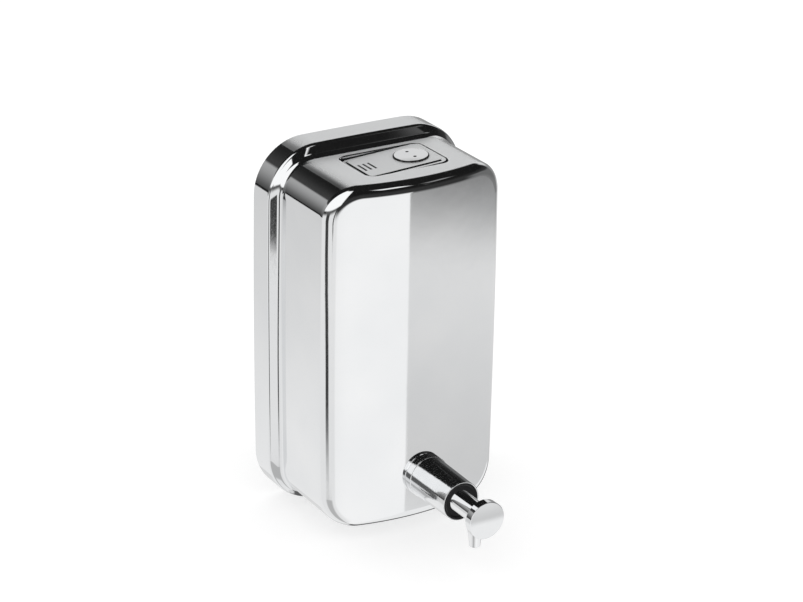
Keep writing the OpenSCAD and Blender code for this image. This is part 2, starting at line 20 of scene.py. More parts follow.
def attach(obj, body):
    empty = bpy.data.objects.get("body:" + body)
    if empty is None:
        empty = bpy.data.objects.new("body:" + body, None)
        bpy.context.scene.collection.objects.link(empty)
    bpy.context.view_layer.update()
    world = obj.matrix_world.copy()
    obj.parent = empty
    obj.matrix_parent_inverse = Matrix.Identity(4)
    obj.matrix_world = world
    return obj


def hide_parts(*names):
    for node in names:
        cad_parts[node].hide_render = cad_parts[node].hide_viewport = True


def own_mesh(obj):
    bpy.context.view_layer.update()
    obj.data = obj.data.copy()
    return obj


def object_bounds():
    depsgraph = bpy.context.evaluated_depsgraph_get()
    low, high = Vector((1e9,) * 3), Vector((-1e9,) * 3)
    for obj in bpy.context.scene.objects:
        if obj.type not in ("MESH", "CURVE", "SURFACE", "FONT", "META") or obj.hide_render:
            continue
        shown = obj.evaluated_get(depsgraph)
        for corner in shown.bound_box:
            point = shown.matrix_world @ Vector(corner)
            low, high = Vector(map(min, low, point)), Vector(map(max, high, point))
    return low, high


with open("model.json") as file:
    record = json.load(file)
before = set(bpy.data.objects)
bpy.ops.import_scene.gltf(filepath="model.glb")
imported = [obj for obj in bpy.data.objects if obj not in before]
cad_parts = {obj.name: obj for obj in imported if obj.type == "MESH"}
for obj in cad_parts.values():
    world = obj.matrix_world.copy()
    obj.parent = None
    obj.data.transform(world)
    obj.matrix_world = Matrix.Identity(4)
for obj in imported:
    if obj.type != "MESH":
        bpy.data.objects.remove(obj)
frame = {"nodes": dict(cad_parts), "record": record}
cad_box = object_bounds()
scene = bpy.context.scene
scene.view_settings.view_transform = "Standard"
print("nodes", len(frame["nodes"]), "box", cad_box)

# %% [markdown]
# ## Camera
# The photograph was taken from the left, above and in front, with a long lens. The angles and
# the focal length were found by fitting the tank's outline, so the camera is set by numbers
# and not by eye. A turn about the view axis of one degree levels it as in the photograph.

# %% Camera
AZIMUTH = math.radians(-31.671)
ELEVATION = math.radians(23.060)
ROLL = math.radians(0.971)
EYE = Vector((-0.6468, -1.1020, 0.5458))
IMAGE_WIDTH = 803
FOCAL_PIXELS = 2548.6
SENSOR = 36.0

back = Vector((math.sin(AZIMUTH) * math.cos(ELEVATION),
               -math.cos(AZIMUTH) * math.cos(ELEVATION),
               math.sin(ELEVATION)))
right = Vector((math.cos(AZIMUTH), math.sin(AZIMUTH), 0))
up = back.cross(right)
view_x = math.cos(ROLL) * right + math.sin(ROLL) * up
view_y = math.cos(ROLL) * up - math.sin(ROLL) * right
camera_data = bpy.data.cameras.new("photo_camera")
camera_data.sensor_width = SENSOR
camera_data.lens = SENSOR * FOCAL_PIXELS / IMAGE_WIDTH
camera_data.clip_end = 50
camera = bpy.data.objects.new("photo_camera", camera_data)
camera.matrix_world = Matrix((
    (view_x.x, view_y.x, back.x, EYE.x),
    (view_x.y, view_y.y, back.y, EYE.y),
    (view_x.z, view_y.z, back.z, EYE.z),
    (0, 0, 0, 1)))
scene.collection.objects.link(camera)
scene.camera = camera
print("lens", round(camera_data.lens, 2), "mm")

# %% [markdown]
# ## Studio
# Mirror steel has no colour of its own: it shows the room. The room here is a plain studio: a
# white sweep below and in front, a grey card at the right, pale walls at the left and behind, a
# soft box, two strips and a dark ceiling. Real cards and lamps could stand there, but each line
# in the steel would then hang on a millimetre. So the room is drawn in the world by direction,
# for glossy rays only: by the turn from the front and the rise above the horizon, in degrees.
# The collar sees the room by way of the tank's front, and such rays of a second bounce meet a
# lower sweep and a lower box. Diffuse surfaces get an even white light, so that their colours
# render as they are written.

# %% Helpers for node trees
def link_value(tree, socket, value):
    """Joins a socket to another node's output, or sets its number."""
    if isinstance(value, bpy.types.NodeSocket):
        tree.links.new(value, socket)
    else:
        socket.default_value = value


def math_node(tree, operation, first, second=0.0):
    node = tree.nodes.new("ShaderNodeMath")
    node.operation = operation
    link_value(tree, node.inputs[0], first)
    link_value(tree, node.inputs[1], second)
    return node.outputs[0]


def ease(tree, value, low, high, out_low=0.0, out_high=1.0):
    """A soft step from out_low to out_high while value goes from low to high."""
    node = tree.nodes.new("ShaderNodeMapRange")
    node.interpolation_type = "SMOOTHSTEP"
    link_value(tree, node.inputs["Value"], value)
    link_value(tree, node.inputs["From Min"], low)
    link_value(tree, node.inputs["From Max"], high)
    link_value(tree, node.inputs["To Min"], out_low)
    link_value(tree, node.inputs["To Max"], out_high)
    return node.outputs["Result"]


def blend_value(tree, factor, first, second):
    node = tree.nodes.new("ShaderNodeMix")
    node.data_type = "FLOAT"
    link_value(tree, node.inputs[0], factor)
    link_value(tree, node.inputs[2], first)
    link_value(tree, node.inputs[3], second)
    return node.outputs[0]


# %% Directions in the room
world = bpy.data.worlds.new("studio")
world.use_nodes = True
scene.world = world
room = world.node_tree
room.nodes.clear()
room_math = partial(math_node, room)
room_ease = partial(ease, room)
room_blend = partial(blend_value, room)
direction = room.nodes.new("ShaderNodeTexCoord").outputs["Generated"]
split = room.nodes.new("ShaderNodeSeparateXYZ")
room.links.new(direction, split.inputs[0])
forward = room_math("MULTIPLY", split.outputs["Y"], -1.0)
turn = room_math("DEGREES", room_math("ARCTAN2", split.outputs["X"], forward))
rise = room_math("DEGREES", room_math("ARCSINE", split.outputs["Z"]))
path = room.nodes.new("ShaderNodeLightPath")
FIRST_BOUNCE = 1.5
second_bounce = room_math("GREATER_THAN", path.outputs["Glossy Depth"], FIRST_BOUNCE)


def limits(value, low, high, soft=None):
    """A soft step from low to high, or with a softness, a soft window between them."""
    if soft is None:
        return room_ease(value, low, high)
    return room_math("MULTIPLY", room_ease(value, low - soft, low + soft),
                     room_ease(value, high + soft, high - soft))


def patch(across, turns, rises):
    """How far a direction lies inside a patch of the room."""
    return room_math("MULTIPLY", limits(across, *turns), limits(rise, *rises))


# %% White sweep, grey card and stands
SWEEP_TURN, SWEEP_LEVEL = (-26, -4), (0.85, 1.0)
CARD_EDGE = (23.6, 24.2)
CARD_LEVELS = (((-19.8, -22.4), (0.22, 0.79)), ((-22.4, -27.6), (0.0, -0.14)),
               ((-26.8, -28.9), (0.0, 0.29)))
LEAN_RISE, LEAN_TURN = (-25, -20.5), (0, -12)
LEANING = "leaning tripod"
DARK_PATCHES = (("floor shade", 0.5, (-75, -38, 6), (-27.5, -30)),
                (LEANING, 0.05, (-74.5, -57.5, 2), (-28.5, -25.5)),
                ("narrow stand", 0.05, (-46, -40, 0.8), (-21.5, -20.9)))
grey_card = 0.0
for rises, levels in CARD_LEVELS:
    grey_card = room_math("ADD", grey_card, room_ease(rise, *rises, *levels))
white_side = room_ease(turn, *SWEEP_TURN, *SWEEP_LEVEL)
sweep = room_blend(limits(turn, *CARD_EDGE), white_side, grey_card)
leaning = room_math("SUBTRACT", turn, room_ease(rise, *LEAN_RISE, *LEAN_TURN))
for label, level, turns, rises in DARK_PATCHES:
    across = leaning if label == LEANING else turn
    sweep = room_blend(patch(across, turns, rises), sweep, level)

# %% Dark ceiling, soft box and strips
DARK_CEILING = 0.01
DARK_WALL = 0.035
CEILING_RISE = (32, 12)
BOX_LEVEL = 1.1
BOX_TURN = (-112, -38, 2.5)
BOX_FOOT, BOX_FOOT_SECOND, BOX_FOOT_SOFT = 8, -1, (-2.5, 2.5)
BOX_TOP = (77, 71)
OVERHEAD_PATCHES = (("low haze", 0.12, (-95, -48, 4), (12, 4)),
                    ("long strip", 1.0, (18, 37, 1.5), (46, 55, 2.5)),
                    ("far wall", 0.09, (36.2, 39.2, 0.8), (32, 36, 2)),
                    ("short strip", 0.25, (44, 60, 3), (40, 47, 2)),
                    ("side haze", 0.16, (50, 58), (13, 5)))
above_foot = room_math("SUBTRACT", rise, room_blend(second_bounce, BOX_FOOT, BOX_FOOT_SECOND))
box_high = room_math("MULTIPLY", limits(above_foot, *BOX_FOOT_SOFT), limits(rise, *BOX_TOP))
soft_box = room_math("MULTIPLY", limits(turn, *BOX_TURN), box_high)
overhead = room_ease(rise, *CEILING_RISE, DARK_CEILING, DARK_WALL)
for label, level, turns, rises in OVERHEAD_PATCHES:
    overhead = room_blend(patch(turn, turns, rises), overhead, level)
overhead = room_blend(soft_box, overhead, BOX_LEVEL)

# %% Where the sweep ends
LEFT_TURN = (-34, -44)
END_FRONT, END_LEFT, END_SECOND = (-19.0, -5.0), (-5.0, 4.0), (-21.2, -16.5)
at_left = limits(turn, *LEFT_TURN)
sweep_end = [room_blend(second_bounce, room_blend(at_left, front, left), second)
             for front, left, second in zip(END_FRONT, END_LEFT, END_SECOND)]
front_side = room_blend(limits(rise, *sweep_end), sweep, overhead)

# %% Walls behind
REAR_WALL, REAR_TOP = 0.74, (26, 38)
REAR_LOW, REAR_LOW_RISE = 0.3, (-15, 11, 6)
UNDERSIDE, UNDERSIDE_TURN, UNDERSIDE_RISE = 0.12, (156, 146), (-24, -32)
LEFT_WALL, LEFT_WALL_RISE, LEFT_WALL_END = (0.70, 0.89), (-19, -28), (-8.0, -7.0)
LEFT_GAP_END = (-5.5, -4.0)
LEFT_HAZE, LEFT_HAZE_RISE, LEFT_HAZE_END = (0.06, 0.40), (-8, 22), (20.5, 23.5)
LEFT_TOP, LEFT_TOP_RISE = (0.05, DARK_CEILING), (24, 38)
REAR_RIGHT_TURN, REAR_LEFT_TURN = (104, 116), (-106, -118)
rear_light = room_blend(limits(rise, *REAR_TOP), REAR_WALL, DARK_CEILING)
rear_light = room_blend(limits(rise, *REAR_LOW_RISE), rear_light, REAR_LOW)
rear_light = room_blend(patch(turn, UNDERSIDE_TURN, UNDERSIDE_RISE), rear_light, UNDERSIDE)
left_top = room_ease(rise, *LEFT_TOP_RISE, *LEFT_TOP)
haze = room_ease(rise, *LEFT_HAZE_RISE, *LEFT_HAZE)
haze = room_blend(limits(rise, *LEFT_HAZE_END), haze, left_top)
haze = room_blend(limits(rise, *LEFT_GAP_END), DARK_CEILING, haze)
left_wall = room_ease(rise, *LEFT_WALL_RISE, *LEFT_WALL)
left_side = room_blend(limits(rise, *LEFT_WALL_END), left_wall, haze)
left_side = room_blend(soft_box, left_side, BOX_LEVEL)
seen = room_blend(limits(turn, *REAR_RIGHT_TURN), front_side, rear_light)
seen = room_blend(limits(turn, *REAR_LEFT_TURN), seen, left_side)

# %% Light of the room
EVEN_LIGHT = 0.95
WHITE_BACKDROP = 1.0
level = room_blend(path.outputs["Is Glossy Ray"], EVEN_LIGHT, seen)
level = room_blend(path.outputs["Is Camera Ray"], level, WHITE_BACKDROP)
glow = room.nodes.new("ShaderNodeBackground")
glow.inputs["Color"].default_value = (1, 1, 1, 1)
room.links.new(level, glow.inputs["Strength"])
world_out = room.nodes.new("ShaderNodeOutputWorld")
room.links.new(glow.outputs[0], world_out.inputs["Surface"])
print("room nodes", len(room.nodes))

# %% [markdown]
# ## Floor
# The dispenser stands on a plain pale floor. It is left out of mirror rays, because the room
# already has its white sweep there. A little emission for camera rays alone lifts it to the
# backdrop's white, and the shadow of the object stays.

# %% Floor
FLOOR_SIZE = 12.0
FLOOR_DROP = 0.0003
FLOOR_TONE = (0.6, 0.6, 0.6, 1)
FLOOR_LIFT = 0.53


def new_object(name, data):
    """A new object in the scene, at the origin."""
    obj = bpy.data.objects.new(name, data)
    scene.collection.objects.link(obj)
    return obj


def join(tree, *pairs):
    """Links each output to its input."""
    for source, target in pairs:
        tree.links.new(source, target)


floor_z = cad_box[0][2] - FLOOR_DROP
half = FLOOR_SIZE / 2
floor_mesh = bpy.data.meshes.new("floor")
floor_mesh.from_pydata([(-half, -half, floor_z), (half, -half, floor_z),
                        (half, half, floor_z), (-half, half, floor_z)], [], [(0, 1, 2, 3)])
floor = new_object("floor", floor_mesh)
floor.visible_glossy = False
floor_paint = bpy.data.materials.new("floor_paint")
floor_paint.use_nodes = True
tree = floor_paint.node_tree
tree.nodes.clear()
matte = tree.nodes.new("ShaderNodeBsdfDiffuse")
matte.inputs["Color"].default_value = FLOOR_TONE
lift = tree.nodes.new("ShaderNodeEmission")
lift.inputs["Color"].default_value = (1, 1, 1, 1)
camera_ray = tree.nodes.new("ShaderNodeLightPath").outputs["Is Camera Ray"]
both = tree.nodes.new("ShaderNodeAddShader")
floor_out = tree.nodes.new("ShaderNodeOutputMaterial")
join(tree, (math_node(tree, "MULTIPLY", camera_ray, FLOOR_LIFT), lift.inputs["Strength"]),
     (matte.outputs[0], both.inputs[0]), (lift.outputs[0], both.inputs[1]),
     (both.outputs[0], floor_out.inputs["Surface"]))
floor_mesh.materials.append(floor_paint)
print("floor at", round(floor_z, 5))

# %% [markdown]
# ## Finishes
# Each finish is a small node tree on Object coordinates: a slow change of tone, a fine change
# of roughness from polishing, drawing or moulding, and a faint bump. Constant values such as
# the metal share are set on the shader itself, so that they survive the export.

# %% One finish
BRUSHED = "brushed"
TONE_STOPS = (0.3, 0.7)
TONE_DETAIL = 3
GRAIN_RANGE = (0.25, 0.75)
GRAIN_DETAIL = 4


def noise(tree, place, scale, detail):
    node = tree.nodes.new("ShaderNodeTexNoise")
    node.inputs["Scale"].default_value = scale
    node.inputs["Detail"].default_value = detail
    tree.links.new(place, node.inputs["Vector"])
    return node.outputs["Fac"]


def finish(name, tone_a, tone_b, rough, tone_scale, grain, bump, stretch=(1, 1, 1), metal=0.0,
           shine=0.5, brush=None):
    """A procedural finish: two tones, a roughness range and a bump of a given grain.
    A brush (tone, roughness range, metal share) takes over where the mesh says it is brushed."""
    material = bpy.data.materials.new(name)
    material.use_nodes = True
    tree = material.node_tree
    shader = tree.nodes["Principled BSDF"]
    shader.inputs["Metallic"].default_value = metal
    shader.inputs["Specular IOR Level"].default_value = shine
    place = tree.nodes.new("ShaderNodeTexCoord").outputs["Object"]
    stretched = tree.nodes.new("ShaderNodeMapping")
    stretched.inputs["Scale"].default_value = stretch
    ramp = tree.nodes.new("ShaderNodeValToRGB")
    for stop, position, tone in zip(ramp.color_ramp.elements, TONE_STOPS, (tone_a, tone_b)):
        stop.position = position
        stop.color = (*tone, 1)
    slow = noise(tree, place, tone_scale, TONE_DETAIL)
    fine = noise(tree, stretched.outputs[0], grain, GRAIN_DETAIL)
    join(tree, (place, stretched.inputs["Vector"]), (slow, ramp.inputs[0]))
    colour = ramp.outputs[0]
    roughness = ease(tree, fine, *GRAIN_RANGE, *rough)
    if brush:
        share = tree.nodes.new("ShaderNodeAttribute")
        share.attribute_name = BRUSHED
        share = share.outputs["Fac"]
        duller = tree.nodes.new("ShaderNodeMix")
        duller.data_type = "RGBA"
        duller.inputs["B"].default_value = (*brush[0], 1)
        join(tree, (share, duller.inputs["Factor"]), (colour, duller.inputs["A"]),
             (blend_value(tree, share, metal, brush[2]), shader.inputs["Metallic"]))
        colour = duller.outputs["Result"]
        roughness = blend_value(tree, share, roughness, ease(tree, fine, *GRAIN_RANGE, *brush[1]))
    relief = tree.nodes.new("ShaderNodeBump")
    relief.inputs["Strength"].default_value = bump[0]
    relief.inputs["Distance"].default_value = bump[1]
    join(tree, (colour, shader.inputs["Base Color"]), (roughness, shader.inputs["Roughness"]),
         (slow if bump[2] == "slow" else fine, relief.inputs["Height"]),
         (relief.outputs[0], shader.inputs["Normal"]))
    return material


# %% Finishes of the record's slots
STEEL = ((0.84, 0.85, 0.86), (0.89, 0.895, 0.9))
PLAIN = (1, 1, 1)
FINISH_VALUES = {
    "polished_steel": (*STEEL, (0.03, 0.07), 22, 260, (0.05, 0.001, "slow"), (1, 1, 6), 1.0),
    "chrome_plate": ((0.86, 0.87, 0.88), (0.90, 0.905, 0.91), (0.02, 0.05), 60, 500,
                     (0.02, 0.0003, "slow"), PLAIN, 1.0),
    "black_plastic": ((0.012, 0.012, 0.013), (0.022, 0.022, 0.024), (0.40, 0.55), 120, 2600,
                      (0.06, 0.0002, "fine"), PLAIN, 0.0, 0.15),
    "black_rubber": ((0.012, 0.012, 0.012), (0.024, 0.023, 0.022), (0.55, 0.75), 150, 3200,
                     (0.12, 0.0002, "fine"), PLAIN, 0.0, 0.2),
    "white_plastic": ((0.80, 0.79, 0.74), (0.86, 0.85, 0.81), (0.30, 0.42), 90, 1800,
                      (0.05, 0.0002, "fine")),
    "plain_steel": ((0.50, 0.51, 0.53), (0.62, 0.63, 0.65), (0.22, 0.42), 35, 420,
                    (0.10, 0.0002, "fine"), (14, 1, 1), 1.0),
    "spring_steel": ((0.46, 0.47, 0.49), (0.58, 0.59, 0.61), (0.16, 0.30), 200, 1600,
                     (0.08, 0.0001, "fine"), PLAIN, 1.0),
    "brass_bush": ((0.66, 0.50, 0.22), (0.76, 0.61, 0.32), (0.16, 0.30), 160, 900,
                   (0.08, 0.0001, "fine"), (1, 1, 12), 1.0),
}
FINISHES = {name: finish(name, *values) for name, values in FINISH_VALUES.items()}
BRUSHED_STEEL = finish("brushed_steel", *STEEL, (0.03, 0.07), 22, 420, (0.04, 0.001, "slow"),
                       (8, 1, 1), 1.0, brush=((0.83, 0.84, 0.845), (0.34, 0.44), 0.5))
CAST_CHROME = finish("cast_chrome", (0.84, 0.85, 0.86), (0.90, 0.905, 0.91), (0.05, 0.14),
                     110, 900, (0.12, 0.0006, "slow"), PLAIN, 1.0)
for record in frame["record"]["subparts"]:
    node = frame["nodes"][record["node"]]
    node.data.materials.clear()
    node.data.materials.append(FINISHES[record["material_slot"]])
print("finishes", len(FINISHES))

# %% [markdown]
# ## How a mirror surface is meshed
# On polished metal the eye reads the normals long before it reads the outline. So each piece
# below is built from its own rule together with the true normal at every point, and these are
# stored on the mesh after holes have been cut. Points are written in millimetres, as a maker
# would, and turned into metres when the mesh is made.

# %% Small mesh helpers
MM = 0.001


def volume(points, faces):
    total = 0.0
    for face in faces:
        a = points[face[0]]
        for i in range(1, len(face) - 1):
            total += float(np.dot(a, np.cross(points[face[i]], points[face[i + 1]])))
    return total


def apply_modifiers(obj):
    """Replaces the mesh by what its modifiers give, and removes them."""
    graph = bpy.context.evaluated_depsgraph_get()
    result = bpy.data.meshes.new_from_object(obj.evaluated_get(graph))
    result.name = obj.name
    obj.modifiers.clear()
    obj.data = result


# %% True normals
SAME_POINT = 2e-6
SMOOTH_LIMIT = 0.72


def set_normals(mesh, guide_points, guide_normals):
    """Gives each face corner the known normal of its point that suits the face best."""
    tree = KDTree(len(guide_points))
    for i, point in enumerate(guide_points):
        tree.insert(point, i)
    tree.balance()
    normals = [None] * len(mesh.loops)
    for face in mesh.polygons:
        face.use_smooth = True
        for corner in face.loop_indices:
            place = mesh.vertices[mesh.loops[corner].vertex_index].co
            best = face.normal
            agreement = SMOOTH_LIMIT
            for _, i, _ in tree.find_range(place, SAME_POINT):
                known = Vector(guide_normals[i])
                if known.dot(face.normal) > agreement:
                    agreement = known.dot(face.normal)
                    best = known
            normals[corner] = best
    mesh.normals_split_custom_set(normals)


# %% One piece
def settle(obj, body, nodes):
    """Says which body a piece rides on and hides the nodes that it stands for."""
    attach(obj, body)
    if nodes:
        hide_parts(*nodes)
    print(obj.name, len(obj.data.polygons), "faces")
    return obj


def make_piece(name, body, slot, nodes, points, faces, guides, place=None, cutters=()):
    """One piece of the object: mesh, holes, normals, finish, and the body that it rides on."""
    points = np.asarray(points, float)
    if volume(points, faces) < 0:
        faces = [tuple(reversed(face)) for face in faces]
    place = place or Matrix.Identity(4)
    turn_only = np.array(place.to_3x3())
    shift = np.array(place.translation)
    points = (points @ turn_only.T + shift) * MM
    guide_points = (np.asarray(guides[0], float) @ turn_only.T + shift) * MM
    guide_normals = np.asarray(guides[1], float) @ turn_only.T
    mesh = bpy.data.meshes.new(name)
    mesh.from_pydata(points.tolist(), [], faces)
    obj = new_object(name, mesh)
    for cutter in cutters:
        cut = obj.modifiers.new("cut", "BOOLEAN")
        cut.operation = "DIFFERENCE"
        cut.solver = "EXACT"
        cut.object = cutter
    if cutters:
        apply_modifiers(obj)
    for cutter in cutters:
        bpy.data.objects.remove(cutter)
    set_normals(obj.data, guide_points, guide_normals)
    obj.data.materials.clear()
    obj.data.materials.append(FINISHES[slot])
    return settle(obj, body, nodes)


# %% Brushed top
TILTED, UPWARD = 0.93, 0.998
FRONT_FREE, FRONT_TILTED = 0.03, 0.12


def brush_top(obj):
    """Marks how far each corner of the mesh belongs to the brushed top, by its normal:
    from none where it is tilted to all where it is upward, and less where it leans forward."""
    mesh = obj.data
    rises = np.empty(3 * len(mesh.loops))
    mesh.corner_normals.foreach_get("vector", rises)
    share = np.clip((rises[2::3] - TILTED) / (UPWARD - TILTED), 0, 1)
    share *= np.clip((FRONT_TILTED + rises[1::3]) / (FRONT_TILTED - FRONT_FREE), 0, 1)
    share = share * share * (3 - 2 * share)
    mesh.attributes.new(BRUSHED, "FLOAT", "CORNER").data.foreach_set("value", share)
    mesh.materials[0] = BRUSHED_STEEL


# %% [markdown]
# ## The pressed tank
# The front of the tank is one deep-drawn sheet: a rear flange, a step, and a front part whose
# face is bowed and whose sides swell by a millimetre. A subdivision surface would only come
# near to it, so the skin is lofted from the same rounded outlines that the die would have,
# ring by ring, outside and inside, one millimetre apart. The bend at the foot of the step is a
# little softer than in the solid, because its reflection shows it so.

# %% Tank sizes
FLANGE_W = 117.0
FLANGE_H = 204.4
FLANGE_CORNER = 28.0
FLANGE_EDGE = 2.5
STEP_IN = 5.6
FRONT_W = FLANGE_W - 2 * STEP_IN
FRONT_H = FLANGE_H - 2 * STEP_IN
FRONT_CORNER = 19.0
DEPTH = 76.0
BOW_RADIUS = 136.0
FRONT_EDGE = 6.0
STEP_START = 14.5
STEP_FILLET = 4.4
STEP_SLOPE = math.radians(35)
SIDE_BULGE = 1.0
TOP_BULGE = 0.7
SHEET = 1.0
RIM_GAP = 0.4
TOP_Z = FRONT_H / 2
STEP_TURN = math.pi / 2 - STEP_SLOPE
STEP_FLAT = STEP_IN - (FLANGE_EDGE + STEP_FILLET) * (1 - math.sin(STEP_SLOPE))
STEP_RUN = (FLANGE_EDGE + STEP_FILLET) * math.cos(STEP_SLOPE) + STEP_FLAT * math.tan(STEP_SLOPE)
STEP_END = STEP_START + STEP_RUN

# %% Outlines of the drawn sheet
SIDE_STEPS = 24
CORNER_STEPS = 24
TOP_STEPS = 48


def outline(w, h, r):
    """A rounded rectangle, from the foot of the right side round to itself."""
    across = w / 2 - r
    upward = h / 2 - r
    side = np.linspace(-upward, upward, SIDE_STEPS, endpoint=False)
    top = np.linspace(across, -across, TOP_STEPS, endpoint=False)
    bend = np.linspace(0, math.pi / 2, CORNER_STEPS, endpoint=False)
    quarters = [bend + k * math.pi / 2 for k in range(4)]
    arcs = [(r * np.cos(quarter), r * np.sin(quarter)) for quarter in quarters]
    xs = [np.full_like(side, w / 2), across + arcs[0][0], top, -across + arcs[1][0],
          np.full_like(side, -w / 2), -across + arcs[2][0], -top, across + arcs[3][0]]
    zs = [side, upward + arcs[0][1], np.full_like(top, h / 2), upward + arcs[1][1],
          -side, -upward + arcs[2][1], np.full_like(top, -h / 2), -upward + arcs[3][1]]
    return np.concatenate(xs), np.concatenate(zs)


def swell(x, z, w, h, across, upward):
    return (x * (1 + 2 * across / w * (1 - (2 * z / h) ** 2)),
            z * (1 + 2 * upward / h * (1 - (2 * x / w) ** 2)))


def flange_ring(inset, s):
    x, z = outline(FLANGE_W - 2 * inset, FLANGE_H - 2 * inset, FLANGE_CORNER - inset)
    x, z = swell(x, z, FLANGE_W, FLANGE_H, SIDE_BULGE, TOP_BULGE)
    return np.stack([x, np.full_like(x, -s), z], 1)


def front_line(inset):
    x, z = outline(FRONT_W - 2 * inset, FRONT_H - 2 * inset, FRONT_CORNER - inset)
    return swell(x, z, FRONT_W, FRONT_H, SIDE_BULGE, 0)


def wall_ring(inset, s):
    x, z = front_line(inset)
    return np.stack([x, np.full_like(x, -s), z], 1)


def bow(x):
    return BOW_RADIUS - np.sqrt(BOW_RADIUS ** 2 - x ** 2)


def face_ring(inset, drop):
    x, z = front_line(inset)
    return np.stack([x, bow(x) + drop - DEPTH, z], 1)


# %% Skin of the sheet
EDGE_STEPS = 18
FILLET_STEPS = 10
RIM_STEPS = 12


def skin(t):
    """One side of the sheet, from the bowed face back to the rim at the wall."""
    rings = []
    for a in np.linspace(0, math.pi / 2, EDGE_STEPS + 1):
        rings.append(face_ring(t + (FRONT_EDGE - t) * (1 - math.sin(a)),
                               t + (FRONT_EDGE - t) * (1 - math.cos(a))))
    for a in np.linspace(0, STEP_TURN, FILLET_STEPS + 1):
        reach = STEP_FILLET + t
        rings.append(wall_ring(reach * math.cos(a) - STEP_FILLET, STEP_END - reach * math.sin(a)))
    for a in np.linspace(STEP_TURN, 0, RIM_STEPS + 1):
        edge = FLANGE_EDGE - t
        rings.append(flange_ring(FLANGE_EDGE - edge * math.cos(a), STEP_START + edge * math.sin(a)))
    rings.append(flange_ring(t, RIM_GAP))
    return np.array(rings)


# %% Normals of a grid
def grid_normals(grid, outward):
    """Normals of a closed-round grid of points from its own neighbours."""
    along = np.empty_like(grid)
    along[1:-1] = grid[2:] - grid[:-2]
    along[0] = grid[1] - grid[0]
    along[-1] = grid[-1] - grid[-2]
    around = np.roll(grid, -1, 1) - np.roll(grid, 1, 1)
    normals = np.cross(along, around)
    normals /= np.linalg.norm(normals, axis=2, keepdims=True)
    middle = normals[len(grid) // 2]
    if np.sum(middle[:, [0, 2]] * grid[len(grid) // 2][:, [0, 2]]) * outward < 0:
        normals = -normals
    return normals


# %% Front shell
def ring_quads(rings, count):
    """Quads between neighbouring rings of points, each ring closed round."""
    return [(k * count + i, k * count + (i + 1) % count,
             (k + 1) * count + (i + 1) % count, (k + 1) * count + i)
            for k in range(rings - 1) for i in range(count)]


outer = skin(0)
inner = skin(SHEET)
outer_normals = grid_normals(outer, 1)
inner_normals = grid_normals(inner, -1)
sideways = outer[0][:, 0] / BOW_RADIUS
face_normal = np.stack([sideways, -np.sqrt(1 - sideways ** 2), 0 * sideways], 1)
outer_normals[0] = face_normal
inner_normals[0] = -face_normal
shell_rings = np.concatenate([outer, inner[::-1]])
ring_count, ring_points = shell_rings.shape[:2]
shell_points = shell_rings.reshape(-1, 3)
shell_faces = ring_quads(ring_count, ring_points)
start = SIDE_STEPS // 2
last_ring = (ring_count - 1) * ring_points
for q in range(ring_points // 2):
    a, b = (start + q) % ring_points, (start + q + 1) % ring_points
    c, d = (start - q - 1) % ring_points, (start - q) % ring_points
    strip = (a, b, c, d)
    if q == 0:
        strip = (a, b, c)
    elif q == ring_points // 2 - 1:
        strip = (a, b, d)
    shell_faces.append(tuple(reversed(strip)))
    shell_faces.append(tuple(last_ring + v for v in strip))


# %% Holes and their cutters
PUMP_Z = 27.9 - TOP_Z
VALVE_HOLE_R = 9.2
LID_W = 48.2
LID_L = 31.6
LID_CORNER = 5.0
LID_GAP = 0.9
LID_X = 1.0
LID_BACK = 42.5


def prism(name, ring, low, high, place=None):
    """A hidden cutter: an upright block on a ring of points, moved by a matrix if one is given."""
    count = len(ring)
    place = place or Matrix.Identity(4)
    points = [((place @ Vector((x, y, z))) * MM)[:] for z in (low, high) for x, y in ring]
    faces = [tuple(reversed(range(count))), tuple(range(count, 2 * count))]
    mesh = bpy.data.meshes.new(name)
    mesh.from_pydata(points, [], faces + ring_quads(2, count))
    return new_object(name, mesh)


def rounded_block(name, w, l, r, low, high, centre, steps=16, place=None):
    """A cutter with round corners."""
    ring = []
    for k, (sx, sy) in enumerate([(1, 1), (-1, 1), (-1, -1), (1, -1)]):
        for a in np.linspace(k * math.pi / 2, (k + 1) * math.pi / 2, steps + 1):
            ring.append((centre[0] + sx * (w / 2 - r) + r * math.cos(a),
                         centre[1] + sy * (l / 2 - r) + r * math.sin(a)))
    return prism(name, ring, low, high, place)


def rod(name, radius, low, high, place, steps=96):
    """A round cutter along its own Z."""
    angles = np.linspace(0, 2 * math.pi, steps, endpoint=False)
    return prism(name, np.stack([radius * np.cos(angles), radius * np.sin(angles)], 1),
                 low, high, place)


# %% Front shell with its openings
PUMP_AXIS = Matrix(((1, 0, 0, 0), (0, 0, -1, 0), (0, 1, 0, PUMP_Z), (0, 0, 0, 1)))
shell_guides = (np.concatenate([outer.reshape(-1, 3), inner.reshape(-1, 3)]),
                np.concatenate([outer_normals.reshape(-1, 3), inner_normals.reshape(-1, 3)]))
LIP = 0.9
lip_size = (LID_W + 2 * (LID_GAP + LIP), LID_L + 2 * (LID_GAP + LIP), LID_CORNER + LID_GAP + LIP)
CUT_PAST = 4
VALVE_CUT = (DEPTH - 12, DEPTH + 5)
lid_opening = rounded_block("lid_opening", *lip_size, TOP_Z - CUT_PAST, TOP_Z + CUT_PAST,
                            (LID_X, -LID_BACK))
valve_hole = rod("valve_hole", VALVE_HOLE_R, *VALVE_CUT, PUMP_AXIS)
brush_top(make_piece("tank_front", "tank", "polished_steel", ["front_shell"], shell_points,
                     shell_faces, shell_guides, cutters=(lid_opening, valve_hole)))

# %% [markdown]
# ## Turned pieces
# Collar, plunger, button and lock are turned on a lathe and then polished. A profile with a
# small radius on each corner is spun round the axis, which is how the real ones are made. The
# radius matters: its thin bright line is what shows that the piece is metal.

